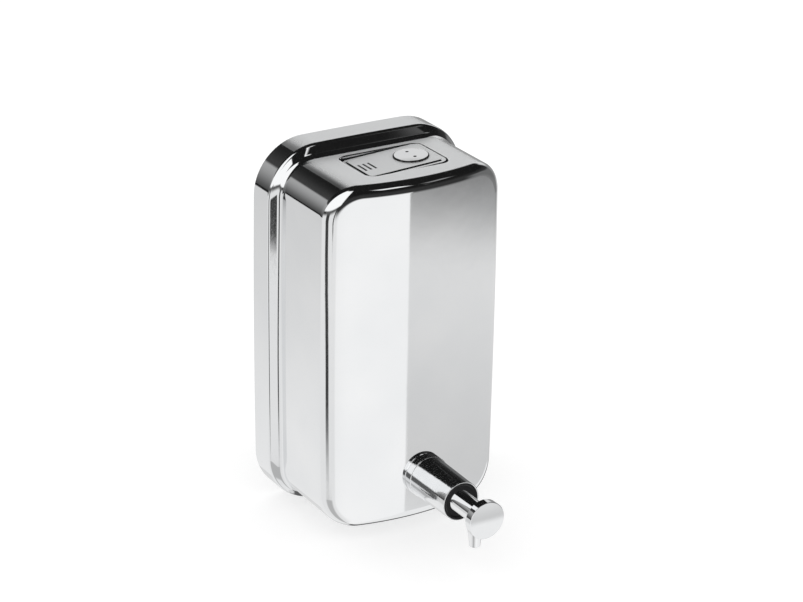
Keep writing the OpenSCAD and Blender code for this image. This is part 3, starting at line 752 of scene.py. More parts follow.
# %% Profile with rounded corners
ARC_STEP = math.radians(9)
EDGE_SHARE = 0.48
TINY = 1e-9
STRAIGHT = 1e-3


def rounded_profile(corners):
    """Corners (radius, height, rounding) to points with the normals before and after them.
    A profile whose first and last corners lie on the axis stays open, any other is closed."""
    flat = np.array([c[:2] for c in corners], float)
    count = len(flat)
    opened = flat[0][0] == 0 and flat[-1][0] == 0
    shifted = np.roll(flat, -1, 0)
    area = np.sum(flat[:, 0] * shifted[:, 1] - shifted[:, 0] * flat[:, 1])
    hand = 1 if area > 0 else -1

    def normal_of(direction):
        return np.array([direction[1], -direction[0]]) * hand

    result = []
    for i in range(count):
        here = flat[i]
        before = flat[i - 1]
        after = flat[(i + 1) % count]
        d_in = (here - before) / max(np.linalg.norm(here - before), TINY)
        d_out = (after - here) / max(np.linalg.norm(after - here), TINY)
        if opened and i == 0:
            d_in = d_out
        if opened and i == count - 1:
            d_out = d_in
        bend = math.acos(max(-1, min(1, float(d_in @ d_out))))
        rounding = corners[i][2] if len(corners[i]) > 2 else 0
        if rounding <= 0 or bend < STRAIGHT:
            result.append((here, normal_of(d_in), normal_of(d_out)))
            continue
        reach = rounding * math.tan(bend / 2)
        limit = EDGE_SHARE * min(np.linalg.norm(here - before), np.linalg.norm(after - here))
        if reach > limit:
            reach = limit
            rounding = reach / math.tan(bend / 2)
        side = np.sign(d_in[0] * d_out[1] - d_in[1] * d_out[0])
        centre = here - d_in * reach + np.array([-d_in[1], d_in[0]]) * side * rounding
        spoke = here - d_in * reach - centre
        steps = max(3, int(math.ceil(bend / ARC_STEP)))
        for k in range(steps + 1):
            a = side * bend * k / steps
            arm = np.array([spoke[0] * math.cos(a) - spoke[1] * math.sin(a),
                            spoke[0] * math.sin(a) + spoke[1] * math.cos(a)])
            normal = arm / rounding
            if normal @ normal_of(d_in) < 0 and bend * k / steps < 1.5:
                normal = -normal
            elif normal @ normal_of(d_out) < 0:
                normal = -normal
            result.append((centre + arm, normal, normal))
    return result, opened


# %% Lathe
def turned(name, body, slot, nodes, corners, place, cutters=(), steps=128):
    """A solid of revolution round its own Z, put in place by a matrix."""
    profile, opened = rounded_profile(corners)
    angles = np.linspace(0, 2 * math.pi, steps, endpoint=False)
    points, faces, guide_points, guide_normals = [], [], [], []
    rings = []
    for (r, s), n_in, n_out in profile:
        pole = r < TINY
        ring = []
        for a in angles[:1] if pole else angles:
            ring.append(len(points))
            points.append((r * math.cos(a), r * math.sin(a), s))
            for n in (n_in, n_out):
                guide_points.append(points[-1])
                guide_normals.append((0, 0, math.copysign(1, n[1])) if pole else
                                     (n[0] * math.cos(a), n[0] * math.sin(a), n[1]))
        rings.append(ring)
    pairs = list(zip(rings[:-1], rings[1:]))
    if not opened:
        pairs.append((rings[-1], rings[0]))
    for one, two in pairs:
        for i in range(steps):
            j = (i + 1) % steps
            if len(one) == 1 and len(two) == 1:
                continue
            if len(one) == 1:
                faces.append((one[0], two[j], two[i]))
            elif len(two) == 1:
                faces.append((one[i], one[j], two[0]))
            else:
                faces.append((one[i], one[j], two[j], two[i]))
    return make_piece(name, body, slot, nodes, points, faces, (guide_points, guide_normals),
                      place, cutters)


# %% [markdown]
# ## Push valve
# The collar is screwed to the tank's front and narrows towards its mouth. A black bush closes
# the mouth, the plunger slides in it, and the button and the spout travel with the plunger.

# %% Collar
# Heights s are measured along the pump's axis, from the wall to the front.
FIT = 0.2
S_COLLAR = DEPTH + 0.4
S_NECK = S_COLLAR + 8.0
S_MOUTH = DEPTH + 40.0
S_TUBE = S_MOUTH - 6.0
S_RIM_END = DEPTH + 4.0
COLLAR_R = 23.7 / 2
COLLAR_SEAT_R = 10.8
COLLAR_BORE_R = 8.3
GROOVE = 0.3
S_LINE = [S_COLLAR + step for step in (2.6, 2.9, 3.6, 3.9)]
MOUTH_R = 21.8 / 2
MOUTH_BORE_R = 10.35
NECK_R = MOUTH_R + (COLLAR_R - MOUTH_R) * 0.55
collar = turned("valve_collar", "tank", "chrome_plate", ["collar"], [
    (COLLAR_SEAT_R, S_COLLAR, 0.1), (COLLAR_R, S_COLLAR, 0.4), (COLLAR_R, S_LINE[0], 0.2),
    (COLLAR_R - GROOVE, S_LINE[1], 0.15), (COLLAR_R - GROOVE, S_LINE[2], 0.15),
    (COLLAR_R, S_LINE[3], 0.2), (COLLAR_R, S_NECK, 0.7), (NECK_R, S_NECK, 0.25),
    (MOUTH_R, S_MOUTH, 0.25), (MOUTH_BORE_R, S_MOUTH, 0.15), (MOUTH_BORE_R, S_TUBE + FIT, 0.1),
    (COLLAR_BORE_R, S_TUBE + FIT, 0.1), (COLLAR_BORE_R, S_RIM_END + FIT, 0.1),
    (COLLAR_SEAT_R, S_RIM_END + FIT, 0.1)], PUMP_AXIS)
collar.data.materials[0] = CAST_CHROME

# %% Bush in the mouth
PLUNGER_R = 11.8 / 2
RUN_R = PLUNGER_R + 0.05
BUSH_OUT_R = MOUTH_BORE_R - 0.05
S_BUSH, S_BUSH_FACE, S_BUSH_DISH = S_TUBE + 0.3, S_MOUTH - 0.1, S_MOUTH - 0.9
S_WIPER, S_WIPER_END = S_TUBE + 2.1, S_TUBE + 3.9
WIPER_R = RUN_R + 1.4
turned("mouth_bush", "tank", "black_plastic", ["gland_bush"], [
    (RUN_R, S_BUSH, 0.1), (BUSH_OUT_R, S_BUSH, 0.1), (BUSH_OUT_R, S_BUSH_FACE, 0.25),
    (BUSH_OUT_R - 1.0, S_BUSH_FACE, 0.25), (BUSH_OUT_R - 1.6, S_BUSH_DISH, 0.3),
    (RUN_R, S_BUSH_DISH, 0.2), (RUN_R, S_WIPER_END, 0), (WIPER_R, S_WIPER_END, 0),
    (WIPER_R, S_WIPER, 0), (RUN_R, S_WIPER, 0)], PUMP_AXIS)

# %% Plunger
S_SPOUT = S_MOUTH + 13.8
S_BUTTON = S_MOUTH + 25.0
S_PLUNGER_END = S_BUTTON - 2.0
S_PISTON_END = DEPTH + 7.7
S_SEAT_END = S_PISTON_END + 12.1
S_CHAMBER = S_SEAT_END + 0.05
S_CHAMBER_END = S_SEAT_END + 12.2
S_PASSAGE_END = S_SPOUT + 2.2
PLUNGER_BORE_R, CHAMBER_R, PASSAGE_R, TIP_BORE_R = 4, 3.2, 2, 0.4
turned("plunger_tube", "button", "chrome_plate", ["plunger"], [
    (PLUNGER_BORE_R, S_PISTON_END, 0.1), (PLUNGER_R, S_PISTON_END, 0.2),
    (PLUNGER_R, S_PLUNGER_END, 0.1), (TIP_BORE_R, S_PLUNGER_END, 0),
    (TIP_BORE_R, S_PASSAGE_END, 0), (PASSAGE_R, S_PASSAGE_END, 0), (PASSAGE_R, S_CHAMBER_END, 0),
    (CHAMBER_R, S_CHAMBER_END, 0), (CHAMBER_R, S_CHAMBER, 0), (PLUNGER_BORE_R, S_CHAMBER, 0)],
    PUMP_AXIS)

# %% Button
BUTTON_R = 20.8 / 2
S_BUTTON_BACK = S_BUTTON - 5.2
BUTTON_BEVEL = 0.6
BUTTON_BORE_R = PLUNGER_R + 0.02
S_BUTTON_FLOOR = S_PLUNGER_END + 0.05
CROWN_RISE = 0.25
CROWN_R = BUTTON_R - 0.3


def crowned(radius, top, count):
    """A low crown from its rim to the axis."""
    return [(q, top - CROWN_RISE * (q / radius) ** 2, 0) for q in np.linspace(radius, 0, count)]


turned("button_cap", "button", "chrome_plate", ["push_button"], [
    (0, S_BUTTON_FLOOR), (BUTTON_BORE_R, S_BUTTON_FLOOR, 0.05), (BUTTON_BORE_R, S_BUTTON_BACK, 0.1),
    (BUTTON_R - BUTTON_BEVEL, S_BUTTON_BACK, 0.3), (BUTTON_R, S_BUTTON_BACK + BUTTON_BEVEL, 0.3),
    (BUTTON_R, S_BUTTON - CROWN_RISE - 0.05, 0.12)] + crowned(CROWN_R, S_BUTTON, 15), PUMP_AXIS)

# %% [markdown]
# ## Spout
# The spout is a small turned nozzle that is welded under the plunger. Its root follows the
# round tube, so a plain lathe is not enough: the same rings are spun, and the upper ones are
# bent up at both sides until they lie on the tube.

# %% Spout sizes and helpers
SPOUT_DROP = 19.4
SPOUT_SINK = 0.15
SPOUT_BORE_R = 1.5
SPOUT_STEPS = 96
SPOUT_TIP_R = 2.98
SPOUT_LIP = 0.3
SPOUT_ROOT = (5.45, -2.2)
SPOUT_BORE_END = 6 - SPOUT_DROP
MOUTH_EDGE = 0.25
LIP_ARC = np.linspace(0.2, math.pi / 2, 5)
HUG_FROM, HUG_OVER, SADDLE = 10.5, 5.2, 5.3
SPOUT_PROFILE = np.array([(5.6, -5.3), (4.75, -7.7), (3.95, -10.9), (3.4, -14.4), (3.05, -17.6),
                          (SPOUT_TIP_R, SPOUT_LIP - SPOUT_DROP)])


def smooth_curve(points, per_span=8):
    """A smooth curve through the given points."""
    padded = np.vstack([2 * points[0] - points[1], points, 2 * points[-1] - points[-2]])
    result = []
    for i in range(1, len(padded) - 2):
        p0, p1, p2, p3 = padded[i - 1:i + 3]
        for u in np.linspace(0, 1, per_span, endpoint=False):
            result.append(0.5 * (2 * p1 + (p2 - p0) * u + (2 * p0 - 5 * p1 + 4 * p2 - p3) * u ** 2
                                 + (3 * p1 - p0 - 3 * p2 + p3) * u ** 3))
    result.append(points[-1])
    return np.array(result)


def closed_tube(rings):
    """Quads between rings, with a cap on each end."""
    count = len(rings[0])
    total = len(rings) * count
    return ring_quads(len(rings), count) + [tuple(reversed(range(count))),
                                            tuple(range(total - count, total))]


# %% Spout
spout_angles = np.linspace(0, 2 * math.pi, SPOUT_STEPS, endpoint=False)
spout_skin = [(float(r), float(z)) for r, z in smooth_curve(SPOUT_PROFILE)]
for a in LIP_ARC:
    spout_skin.append((SPOUT_TIP_R - SPOUT_LIP * (1 - math.cos(a)),
                       SPOUT_LIP * (1 - math.sin(a)) - SPOUT_DROP))
spout_skin += [(SPOUT_BORE_R + MOUTH_EDGE, -SPOUT_DROP), (SPOUT_BORE_R, MOUTH_EDGE - SPOUT_DROP),
               (SPOUT_BORE_R, SPOUT_BORE_END)]
spout_rings = []
for r, z in [SPOUT_ROOT] + spout_skin:
    x = r * np.cos(spout_angles)
    saddle = -np.sqrt(np.maximum((PLUNGER_R - SPOUT_SINK) ** 2 - x ** 2, 0))
    hug = min(1.0, max(0.0, (z + HUG_FROM) / HUG_OVER)) ** 2
    height = z + hug * (saddle + SADDLE)
    spout_rings.append(np.stack([x, r * np.sin(spout_angles), height], 1))
spout_rings = np.array(spout_rings)
spout_normals = grid_normals(spout_rings[:, :, [0, 2, 1]], 1)[:, :, [0, 2, 1]]
UNDER_PLUNGER = Matrix.Translation((0, -S_SPOUT, PUMP_Z))
make_piece("spout_nozzle", "button", "chrome_plate", ["spout"], spout_rings.reshape(-1, 3),
           closed_tube(spout_rings), (spout_rings.reshape(-1, 3), spout_normals.reshape(-1, 3)),
           UNDER_PLUNGER)

# %% [markdown]
# ## Inside the pump
# Barrel, cap, piston and seat are moulded or turned round one axis, so the same lathe makes
# them. The barrel is screwed into the tank's front, the piston is pushed on the plunger's end,
# and a ball on a seat at each end lets the soap pass one way only. The cap's cage is slit
# crosswise, so that soap gets past the ball.

# %% Barrel, piston and seat
S_BARREL = DEPTH - 21.0
S_STOP = DEPTH + 8.0
S_RIM = DEPTH + 1.6
S_PISTON = S_PISTON_END - 6.0
S_GROOVE, S_GROOVE_END = S_PISTON + 1.8, S_PISTON + 4.2
S_STUB_END = S_PISTON_END + 8
S_SEAT = S_SEAT_END - 4
BARREL_R, BARREL_BORE_R, BARREL_RIM_R = 8.95, 7, 10.5
GUIDE_R, GUIDE_BORE_R = 8.2, 6.3
PISTON_R, PISTON_GROOVE_R, PISTON_BORE_R = 6.95, 5.4, 1.75
PRESS_R = 3.97
SEAT_BORE_R = 1.5
turned("pump_barrel", "tank", "black_plastic", ["pump_housing"], [
    (BARREL_BORE_R, S_BARREL, 0.3), (BARREL_R, S_BARREL, 0.5), (BARREL_R, S_RIM, 0),
    (BARREL_RIM_R, S_RIM, 0.2), (BARREL_RIM_R, S_RIM_END, 0.4), (GUIDE_R, S_RIM_END, 0.3),
    (GUIDE_R, S_TUBE, 0.3), (GUIDE_BORE_R, S_TUBE, 0.3), (GUIDE_BORE_R, S_STOP, 0.2),
    (BARREL_BORE_R, S_STOP, 0.1)], PUMP_AXIS)
turned("pump_piston", "button", "white_plastic", ["piston"], [
    (PISTON_BORE_R, S_PISTON, 0.2), (PISTON_R, S_PISTON, 0.3), (PISTON_R, S_GROOVE, 0.1),
    (PISTON_GROOVE_R, S_GROOVE, 0.1), (PISTON_GROOVE_R, S_GROOVE_END, 0.1),
    (PISTON_R, S_GROOVE_END, 0.1), (PISTON_R, S_PISTON_END, 0.3), (PRESS_R, S_PISTON_END, 0),
    (PRESS_R, S_STUB_END, 0.2), (PISTON_BORE_R, S_STUB_END, 0.2)], PUMP_AXIS)
turned("ball_seat", "button", "white_plastic", ["outlet_seat"], [
    (SEAT_BORE_R, S_SEAT, 0.1), (PRESS_R, S_SEAT, 0.2), (PRESS_R, S_SEAT_END, 0.2),
    (SEAT_BORE_R, S_SEAT_END, 0.04)], PUMP_AXIS)

# %% Inlet cap with its cage
S_CAP_FACE = S_BARREL - 2
S_CAP = S_BARREL + 5.0
S_CAGE = S_CAP + 8.0
S_CAGE_LIP = S_CAGE - 0.8
S_IN_SEAT = S_CAP - 0.5
SLIT = (11, 2.2, 0.3, S_CAP + 2, S_CAGE - 1.4, (0, 0))
CAP_R, CAP_PLUG_R, INLET_R = 8.85, 6.96, 2
CAGE_R, CAGE_BORE_R, CAGE_LIP_R = 4.5, 3.5, 2.4
slits = tuple(rounded_block("cage_slit", *SLIT, place=PUMP_AXIS @ Matrix.Rotation(angle, 4, "Z"))
              for angle in (0, math.pi / 2))
turned("inlet_cage", "tank", "white_plastic", ["inlet_cap"], [
    (INLET_R, S_CAP_FACE, 0.2), (CAP_R, S_CAP_FACE, 0.5), (CAP_R, S_BARREL, 0.1),
    (CAP_PLUG_R, S_BARREL, 0), (CAP_PLUG_R, S_CAP, 0.3), (CAGE_R, S_CAP, 0.2),
    (CAGE_R, S_CAGE, 0.3), (CAGE_LIP_R, S_CAGE, 0.2), (CAGE_LIP_R, S_CAGE_LIP, 0.1),
    (CAGE_BORE_R, S_CAGE_LIP, 0.1), (CAGE_BORE_R, S_IN_SEAT, 0), (INLET_R, S_IN_SEAT, 0.04)],
    PUMP_AXIS, slits)

# %% Valve balls
BALL_RINGS = 25
SMALL_STEPS = 48


def ball(name, body, node, radius, s):
    """A ground steel ball: half a circle spun round the pump axis."""
    arc = [(radius * math.sin(a), s - radius * math.cos(a), 0)
           for a in np.linspace(0, math.pi, BALL_RINGS)]
    arc[0] = (0, s - radius)
    arc[-1] = (0, s + radius)
    turned(name, body, "spring_steel", [node], arc, PUMP_AXIS, steps=SMALL_STEPS)


IN_BALL_R, OUT_BALL_R, BALL_GAP = 3.0, 2.5, 0.1
S_IN_BALL = S_IN_SEAT + math.sqrt(IN_BALL_R ** 2 - INLET_R ** 2) + BALL_GAP
S_OUT_BALL = S_SEAT_END + math.sqrt(OUT_BALL_R ** 2 - SEAT_BORE_R ** 2) + BALL_GAP
ball("inlet_valve_ball", "inlet_valve", "inlet_ball", IN_BALL_R, S_IN_BALL)
ball("outlet_valve_ball", "outlet_valve", "outlet_ball", OUT_BALL_R, S_OUT_BALL)

# %% [markdown]
# ## Rubber rings
# A wiper closes the gap round the plunger and a ring closes the piston against the barrel.
# Moulded rubber has no sharp edge, so both are turned with roundings that nearly meet.

# %% Rubber rings
RING_GAP = 0.1
for name, body, node, bore, out, start, end, soft in (
        ("wiper_ring", "tank", "gland_seal", RUN_R, WIPER_R - RING_GAP, S_WIPER, S_WIPER_END,
         (0.5, 0.5)),
        ("piston_ring", "button", "piston_seal", PISTON_GROOVE_R + 0.03, PISTON_R + 0.02, S_GROOVE,
         S_GROOVE_END, (0.6, 0.7))):
    low, high = start + RING_GAP, end - RING_GAP
    turned(name, body, "black_rubber", [node], [
        (bore, low, soft[0]), (out, low, soft[1]), (out, high, soft[1]), (bore, high, soft[0])],
        PUMP_AXIS)

# %% [markdown]
# ## Springs
# A spring is a wire that follows a rule: so many turns on one radius over one length. That is
# a task for Geometry Nodes, where a spiral curve carries a round wire. The strong spring
# pushes the button out and the light one closes the outlet ball.

# %% Node tree helpers
def geometry_tree(name, sizes):
    """A new tree with one geometry in, one out, and a named input for each size."""
    tree = bpy.data.node_groups.new(name, "GeometryNodeTree")
    tree.interface.new_socket("Geometry", in_out="INPUT", socket_type="NodeSocketGeometry")
    tree.interface.new_socket("Geometry", in_out="OUTPUT", socket_type="NodeSocketGeometry")
    for label, kind in sizes:
        tree.interface.new_socket(label, in_out="INPUT", socket_type=kind)
    return tree, tree.nodes.new("NodeGroupInput"), tree.nodes.new("NodeGroupOutput")


def close_tree(tree, geometry, exit_node, material):
    """Ends a tree: instances made real, faces smooth, and the finish set."""
    real = tree.nodes.new("GeometryNodeRealizeInstances")
    smooth = tree.nodes.new("GeometryNodeSetShadeSmooth")
    painted = tree.nodes.new("GeometryNodeSetMaterial")
    painted.inputs["Material"].default_value = material
    join(tree, (geometry, real.inputs[0]), (real.outputs[0], smooth.inputs[0]),
         (smooth.outputs[0], painted.inputs["Geometry"]), (painted.outputs[0], exit_node.inputs[0]))


def grown(name, body, nodes, tree, values, start, place=None):
    """Runs a tree on a start mesh and keeps the result as a plain piece."""
    obj = new_object(name, start)
    modifier = obj.modifiers.new("grow", "NODES")
    modifier.node_group = tree
    for item in tree.interface.items_tree:
        if item.in_out == "INPUT" and item.name in values:
            modifier[item.identifier] = values[item.name]
    apply_modifiers(obj)
    if place:
        obj.data.transform(place)
    return settle(obj, body, nodes)


# %% Spring tree
FLOAT = "NodeSocketFloat"
STEPS_PER_TURN = 40
WIRE_SIDES = 14
spring_tree, spring_in, spring_out = geometry_tree("coil_spring", [
    ("Coil radius", FLOAT), ("Wire radius", FLOAT), ("Length", FLOAT), ("Turns", FLOAT)])
spiral = spring_tree.nodes.new("GeometryNodeCurveSpiral")
spiral.inputs["Resolution"].default_value = STEPS_PER_TURN
spiral.inputs["Reverse"].default_value = True
wire = spring_tree.nodes.new("GeometryNodeCurvePrimitiveCircle")
wire.inputs["Resolution"].default_value = WIRE_SIDES
drawn_wire = spring_tree.nodes.new("GeometryNodeCurveToMesh")
drawn_wire.inputs["Fill Caps"].default_value = True
given = spring_in.outputs
join(spring_tree, (given["Coil radius"], spiral.inputs["Start Radius"]),
     (given["Coil radius"], spiral.inputs["End Radius"]),
     (given["Length"], spiral.inputs["Height"]), (given["Turns"], spiral.inputs["Rotations"]),
     (given["Wire radius"], wire.inputs["Radius"]), (spiral.outputs[0], drawn_wire.inputs["Curve"]),
     (wire.outputs[0], drawn_wire.inputs["Profile Curve"]))
close_tree(spring_tree, drawn_wire.outputs[0], spring_out, FINISHES["spring_steel"])

# %% Springs
TURNS = 5.0
END_GAP = 0.05
PUSH_COIL_R, PUSH_WIRE_R = 5.6, 0.5
CLOSE_COIL_R, CLOSE_WIRE_R = 2.2, 0.25
S_CLOSE = S_OUT_BALL + 1.6


def coil(name, node, radius, wire_r, low, high):
    """A spring between two heights on the pump axis."""
    place = Matrix.Translation((0, 0, PUMP_Z * MM)) @ PUMP_AXIS.to_3x3().to_4x4()
    place = place @ Matrix.Translation((0, 0, (low + wire_r) * MM))
    return grown(name, "button", [node], spring_tree, {
        "Coil radius": radius * MM, "Wire radius": wire_r * MM,
        "Length": (high - low - 2 * wire_r) * MM, "Turns": TURNS}, bpy.data.meshes.new(name), place)


push_coil = coil("push_coil", "return_spring", PUSH_COIL_R, PUSH_WIRE_R, S_CAP + END_GAP,
                 S_PISTON - END_GAP)
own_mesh(push_coil)
close_coil = coil("close_coil", "outlet_spring", CLOSE_COIL_R, CLOSE_WIRE_R, S_CLOSE,
                  S_CHAMBER_END - END_GAP)
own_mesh(close_coil)

# %% [markdown]
# ## A calm front
# The tank's front shows the room alone, as in the photograph, so the pump's pieces are left out
# of mirror rays. This also keeps the front calm from other sides.

# %% Pump out of the mirror
PUMP_PIECES = ("valve_collar", "mouth_bush", "plunger_tube", "button_cap", "spout_nozzle",
               "pump_barrel", "pump_piston", "ball_seat", "inlet_cage", "inlet_valve_ball",
               "outlet_valve_ball", "wiper_ring", "piston_ring", "push_coil", "close_coil")
for name in PUMP_PIECES:
    bpy.data.objects[name].visible_glossy = False

# %% [markdown]
# ## Filler lid
# The lid is a small pressed plate that stands slightly ajar, as in the photograph, with a low
# border pressed all round it. Plate, seal and the rolled lip of the opening are sections carried
# along a rounded rectangle, so their corners keep true radii. The lid's pieces are made shut and
# then turned about the hinge by the same small angle.

# %% Where lid and lock lie
LID_TOP = TOP_Z - 1.2
LID_T = 1.0
LID_UNDER = LID_TOP - LID_T
LID_AJAR = 2.85
HINGE_X = LID_X - LID_W / 2 + 6.1
HINGE_Z = LID_UNDER - 2.3
LOCK_X = LID_X + 10.3
BUSH_R = 6.0
hinge_place = Matrix.Translation((HINGE_X, 0, HINGE_Z))
AJAR = hinge_place @ Matrix.Rotation(math.radians(-LID_AJAR), 4, "Y") @ hinge_place.inverted()
AT_LID = AJAR @ Matrix.Translation((LID_X, -LID_BACK, 0))
AT_LOCK = AJAR @ Matrix.Translation((LOCK_X, -LID_BACK, 0))


# %% Section along a rounded rectangle
def outline_normals(w, l, r):
    """Points of a rounded rectangle with their outward normals."""
    x, y = outline(w, l, r)
    across = np.clip(x, -(w / 2 - r), w / 2 - r)
    upward = np.clip(y, -(l / 2 - r), l / 2 - r)
    nx, ny = x - across, y - upward
    size = np.hypot(nx, ny)
    return x, y, nx / size, ny / size


FAR = 1000


def swept_section(name, body, slot, nodes, size, section, place, cutters=()):
    """Carries a section of corners (inset, height, rounding) along a rounded rectangle.
    A first and last corner with the same height as their neighbours may be closed by caps.
    The section is rounded as a lathe profile far from its axis."""
    w, l, r, capped = size
    profile, _ = rounded_profile([(FAR - inset, z, rounding) for inset, z, rounding in section])
    rings, guide_points, guide_normals = [], [], []
    for (q, z), n_in, n_out in profile:
        inset = FAR - q
        x, y, nx, ny = outline_normals(w - 2 * inset, l - 2 * inset, r - inset)
        ring = np.stack([x, y, np.full_like(x, z)], 1)
        rings.append(ring)
        for n in (n_in, n_out):
            guide_points.append(ring)
            guide_normals.append(np.stack([nx * n[0], ny * n[0], np.full_like(x, n[1])], 1))
    if not capped:
        rings.append(rings[0])
    count = len(rings[0])
    faces = closed_tube(rings)
    points = np.concatenate(rings)
    if not capped:
        faces = faces[:-2]
        total = (len(rings) - 1) * count
        faces = [tuple(v % total for v in face) for face in faces]
        points = points[:total]
    return make_piece(name, body, slot, nodes, points, faces,
                      (np.concatenate(guide_points), np.concatenate(guide_normals)), place, cutters)


# %% Lid plate and lip
LID_RIM = 1.8
LID_BORDER = 0.5
BORDER_RUN = 1.0
UNDER_INSET = 2.0
BORDER_Z = LID_TOP - LID_BORDER
lid_bush_hole = rod("lid_bush_hole", BUSH_R + 0.02, LID_UNDER - 1, LID_TOP + 1, AT_LOCK)
brush_top(swept_section(
    "lid_plate", "lid", "polished_steel", ["hatch_lid"], (LID_W, LID_L, LID_CORNER, True), [
        (UNDER_INSET, LID_UNDER, 0), (0, LID_UNDER, 0.2), (0, BORDER_Z, 0.2),
        (LID_RIM, BORDER_Z, 0.3), (LID_RIM + BORDER_RUN, LID_TOP, 0.5),
        (LID_RIM + 2 * BORDER_RUN, LID_TOP, 0)], AT_LID, (lid_bush_hole,)))
swept_section("filler_lip", "tank", "polished_steel", ["front_shell"], (*lip_size, False), [
    (0, TOP_Z - SHEET, 0), (0, TOP_Z, 0), (LIP, TOP_Z, 0.85), (LIP, TOP_Z - SHEET, 0)],
    Matrix.Translation((LID_X, -LID_BACK, 0)))

# %% Lid seal
SEAL_SIZE = (34.0, 28.0, 6.0)
SEAL_BAND = 3.0
SEAL_FACE = LID_UNDER - 2.0
AT_NECK = AJAR @ Matrix.Translation((LID_X + 4.0, -LID_BACK, 0))
swept_section("lid_seal", "lid", "black_rubber", ["filler_gasket"], (*SEAL_SIZE, False), [
    (0, SEAL_FACE, 0.6), (0, LID_UNDER, 0.15), (SEAL_BAND, LID_UNDER, 0.15),
    (SEAL_BAND, SEAL_FACE, 0.6)], AT_NECK)

# %% [markdown]
# ## Lock
# The lock face is a low turned dome with two blind holes for a pin key. Its stem passes
# through the lid and carries the cam that holds the lid shut. A black ring under the face gives
# its foot a dark rim, a painted shade of the gap there. The faces inside the shallow holes get a
# dark finish, a painted shade with some grease.

# %% Lock sizes and key holes
LOCK_R = 9.0
LOCK_BASE = LID_TOP + 0.1
PAN_FLOOR = HINGE_Z - 7.2
CAM_REACH = 11.0
CAM_T = 2.0
tip_rise = (LOCK_X + CAM_REACH - HINGE_X) * math.sin(math.radians(LID_AJAR))
CAM_TOP = HINGE_Z + (PAN_FLOOR - 1.35 - HINGE_Z - tip_rise) / math.cos(math.radians(LID_AJAR))
STEM_END = CAM_TOP - CAM_T + 0.2
KEY_PITCH = 8.0
KEY_R = 0.9
KEY_DEEP = 0.7
LOCK_FACE_T = 1.1
LOCK_EDGE = 0.35
LOCK_CROWN = LOCK_BASE + LOCK_FACE_T
key_holes = tuple(rod("key_hole", KEY_R, LOCK_CROWN - KEY_DEEP, LOCK_CROWN + 2,
                      AT_LOCK @ Matrix.Translation((0, side * KEY_PITCH / 2, 0)), 32)
                  for side in (-1, 1))

# %% Lock face
DOME_R = LOCK_R - 1.0
SHADE_RING_R = LOCK_R + 0.55
RING_TOP = LID_TOP + 0.65
SCREW_BORE_R, CAM_SEAT_R, STEM_R, SHOULDER_R, RING_BORE_R = 1.52, 2.5, 4, 6.6, 6.8
SCREW_BORE_END = CAM_TOP + 4.5
lock_face = turned("lock_face", "lock", "chrome_plate", ["lock_plug"], [
    (0, SCREW_BORE_END), (SCREW_BORE_R, SCREW_BORE_END, 0), (SCREW_BORE_R, STEM_END, 0.1),
    (CAM_SEAT_R, STEM_END, 0.2), (CAM_SEAT_R, CAM_TOP, 0), (STEM_R, CAM_TOP, 0.2),
    (STEM_R, LOCK_BASE, 0), (SHOULDER_R, LOCK_BASE, 0.05), (SHOULDER_R, RING_TOP, 0),
    (LOCK_R, RING_TOP, 0.1), (LOCK_R, LOCK_CROWN - 0.3, LOCK_EDGE)]
    + crowned(DOME_R, LOCK_CROWN, 12), AT_LOCK, key_holes)
# The second finish is painted shade, with some grease, for the key holes. They are too shallow to
# darken by themselves.
lock_face.data.materials.append(FINISHES["black_plastic"])
from_lock = AT_LOCK.inverted()
for face in lock_face.data.polygons:
    x, y, z = from_lock @ (face.center / MM)
    in_shaded_hole = math.hypot(x, abs(y) - KEY_PITCH / 2) < KEY_R + 0.01
    if in_shaded_hole and LOCK_BASE < z < LOCK_CROWN - 0.1:
        face.material_index = 1

# %% Black ring under the lock face, a painted shade
# A black rubber ring a little wider than the face. It stands for the shade in the gap under the
# face: painted shade.
turned("lock_shade_ring", "lid", "black_rubber", ["lock_bush"], [
    (RING_BORE_R, LID_TOP, 0.05), (SHADE_RING_R, LID_TOP, 0.1), (SHADE_RING_R, RING_TOP, 0.25),
    (RING_BORE_R, RING_TOP, 0.05)], AT_LOCK)

# %% [markdown]
# ## Under the lid
# The lock turns in a brass bush, and a slotted screw holds its cam. A plain pin with rounded
# ends carries the hinge. All three are lathe work; the screw's slot is cut afterwards.

# %% Bush, screw and pin
SLEEVE_BORE_R, SLEEVE_R, NUT_R = 4.05, 5, BUSH_R + 0.8
SLEEVE_END, SLEEVE_STEP, NUT_FACE = CAM_TOP + 0.2, LID_UNDER - 4, LID_UNDER - 1.2
turned("lock_sleeve", "lid", "brass_bush", ["lock_bush"], [
    (SLEEVE_BORE_R, SLEEVE_END, 0.2), (SLEEVE_R, SLEEVE_END, 0.3), (SLEEVE_R, SLEEVE_STEP, 0.1),
    (BUSH_R, SLEEVE_STEP, 0.4), (BUSH_R, NUT_FACE, 0), (NUT_R, NUT_FACE, 0.3),
    (NUT_R, LID_UNDER, 0.05), (BUSH_R, LID_UNDER, 0), (BUSH_R, LID_TOP, 0.1),
    (SLEEVE_BORE_R, LID_TOP, 0.2)], AT_LOCK)
SCREW_TOP = CAM_TOP - CAM_T
SCREW_HEAD, SCREW_END = SCREW_TOP - 1.8, SCREW_TOP + 6
SCREW_HEAD_R, SCREW_R = 3, 1.5
screw_slot = rounded_block("screw_slot", 8, 0.8, 0.1, SCREW_TOP - 3, SCREW_TOP - 1, (0, 0),
                           place=AT_LOCK)
turned("lock_screw", "lock", "plain_steel", ["cam_screw"], [
    (0, SCREW_HEAD), (SCREW_HEAD_R, SCREW_HEAD, 0.5), (SCREW_HEAD_R, SCREW_TOP, 0.1),
    (SCREW_R, SCREW_TOP, 0), (SCREW_R, SCREW_END, 0.3), (0, SCREW_END)], AT_LOCK, (screw_slot,))
PIN_R, PIN_HALF = 1, 10.2
HINGE_PLACE = Matrix.Translation((HINGE_X, -LID_BACK, HINGE_Z))
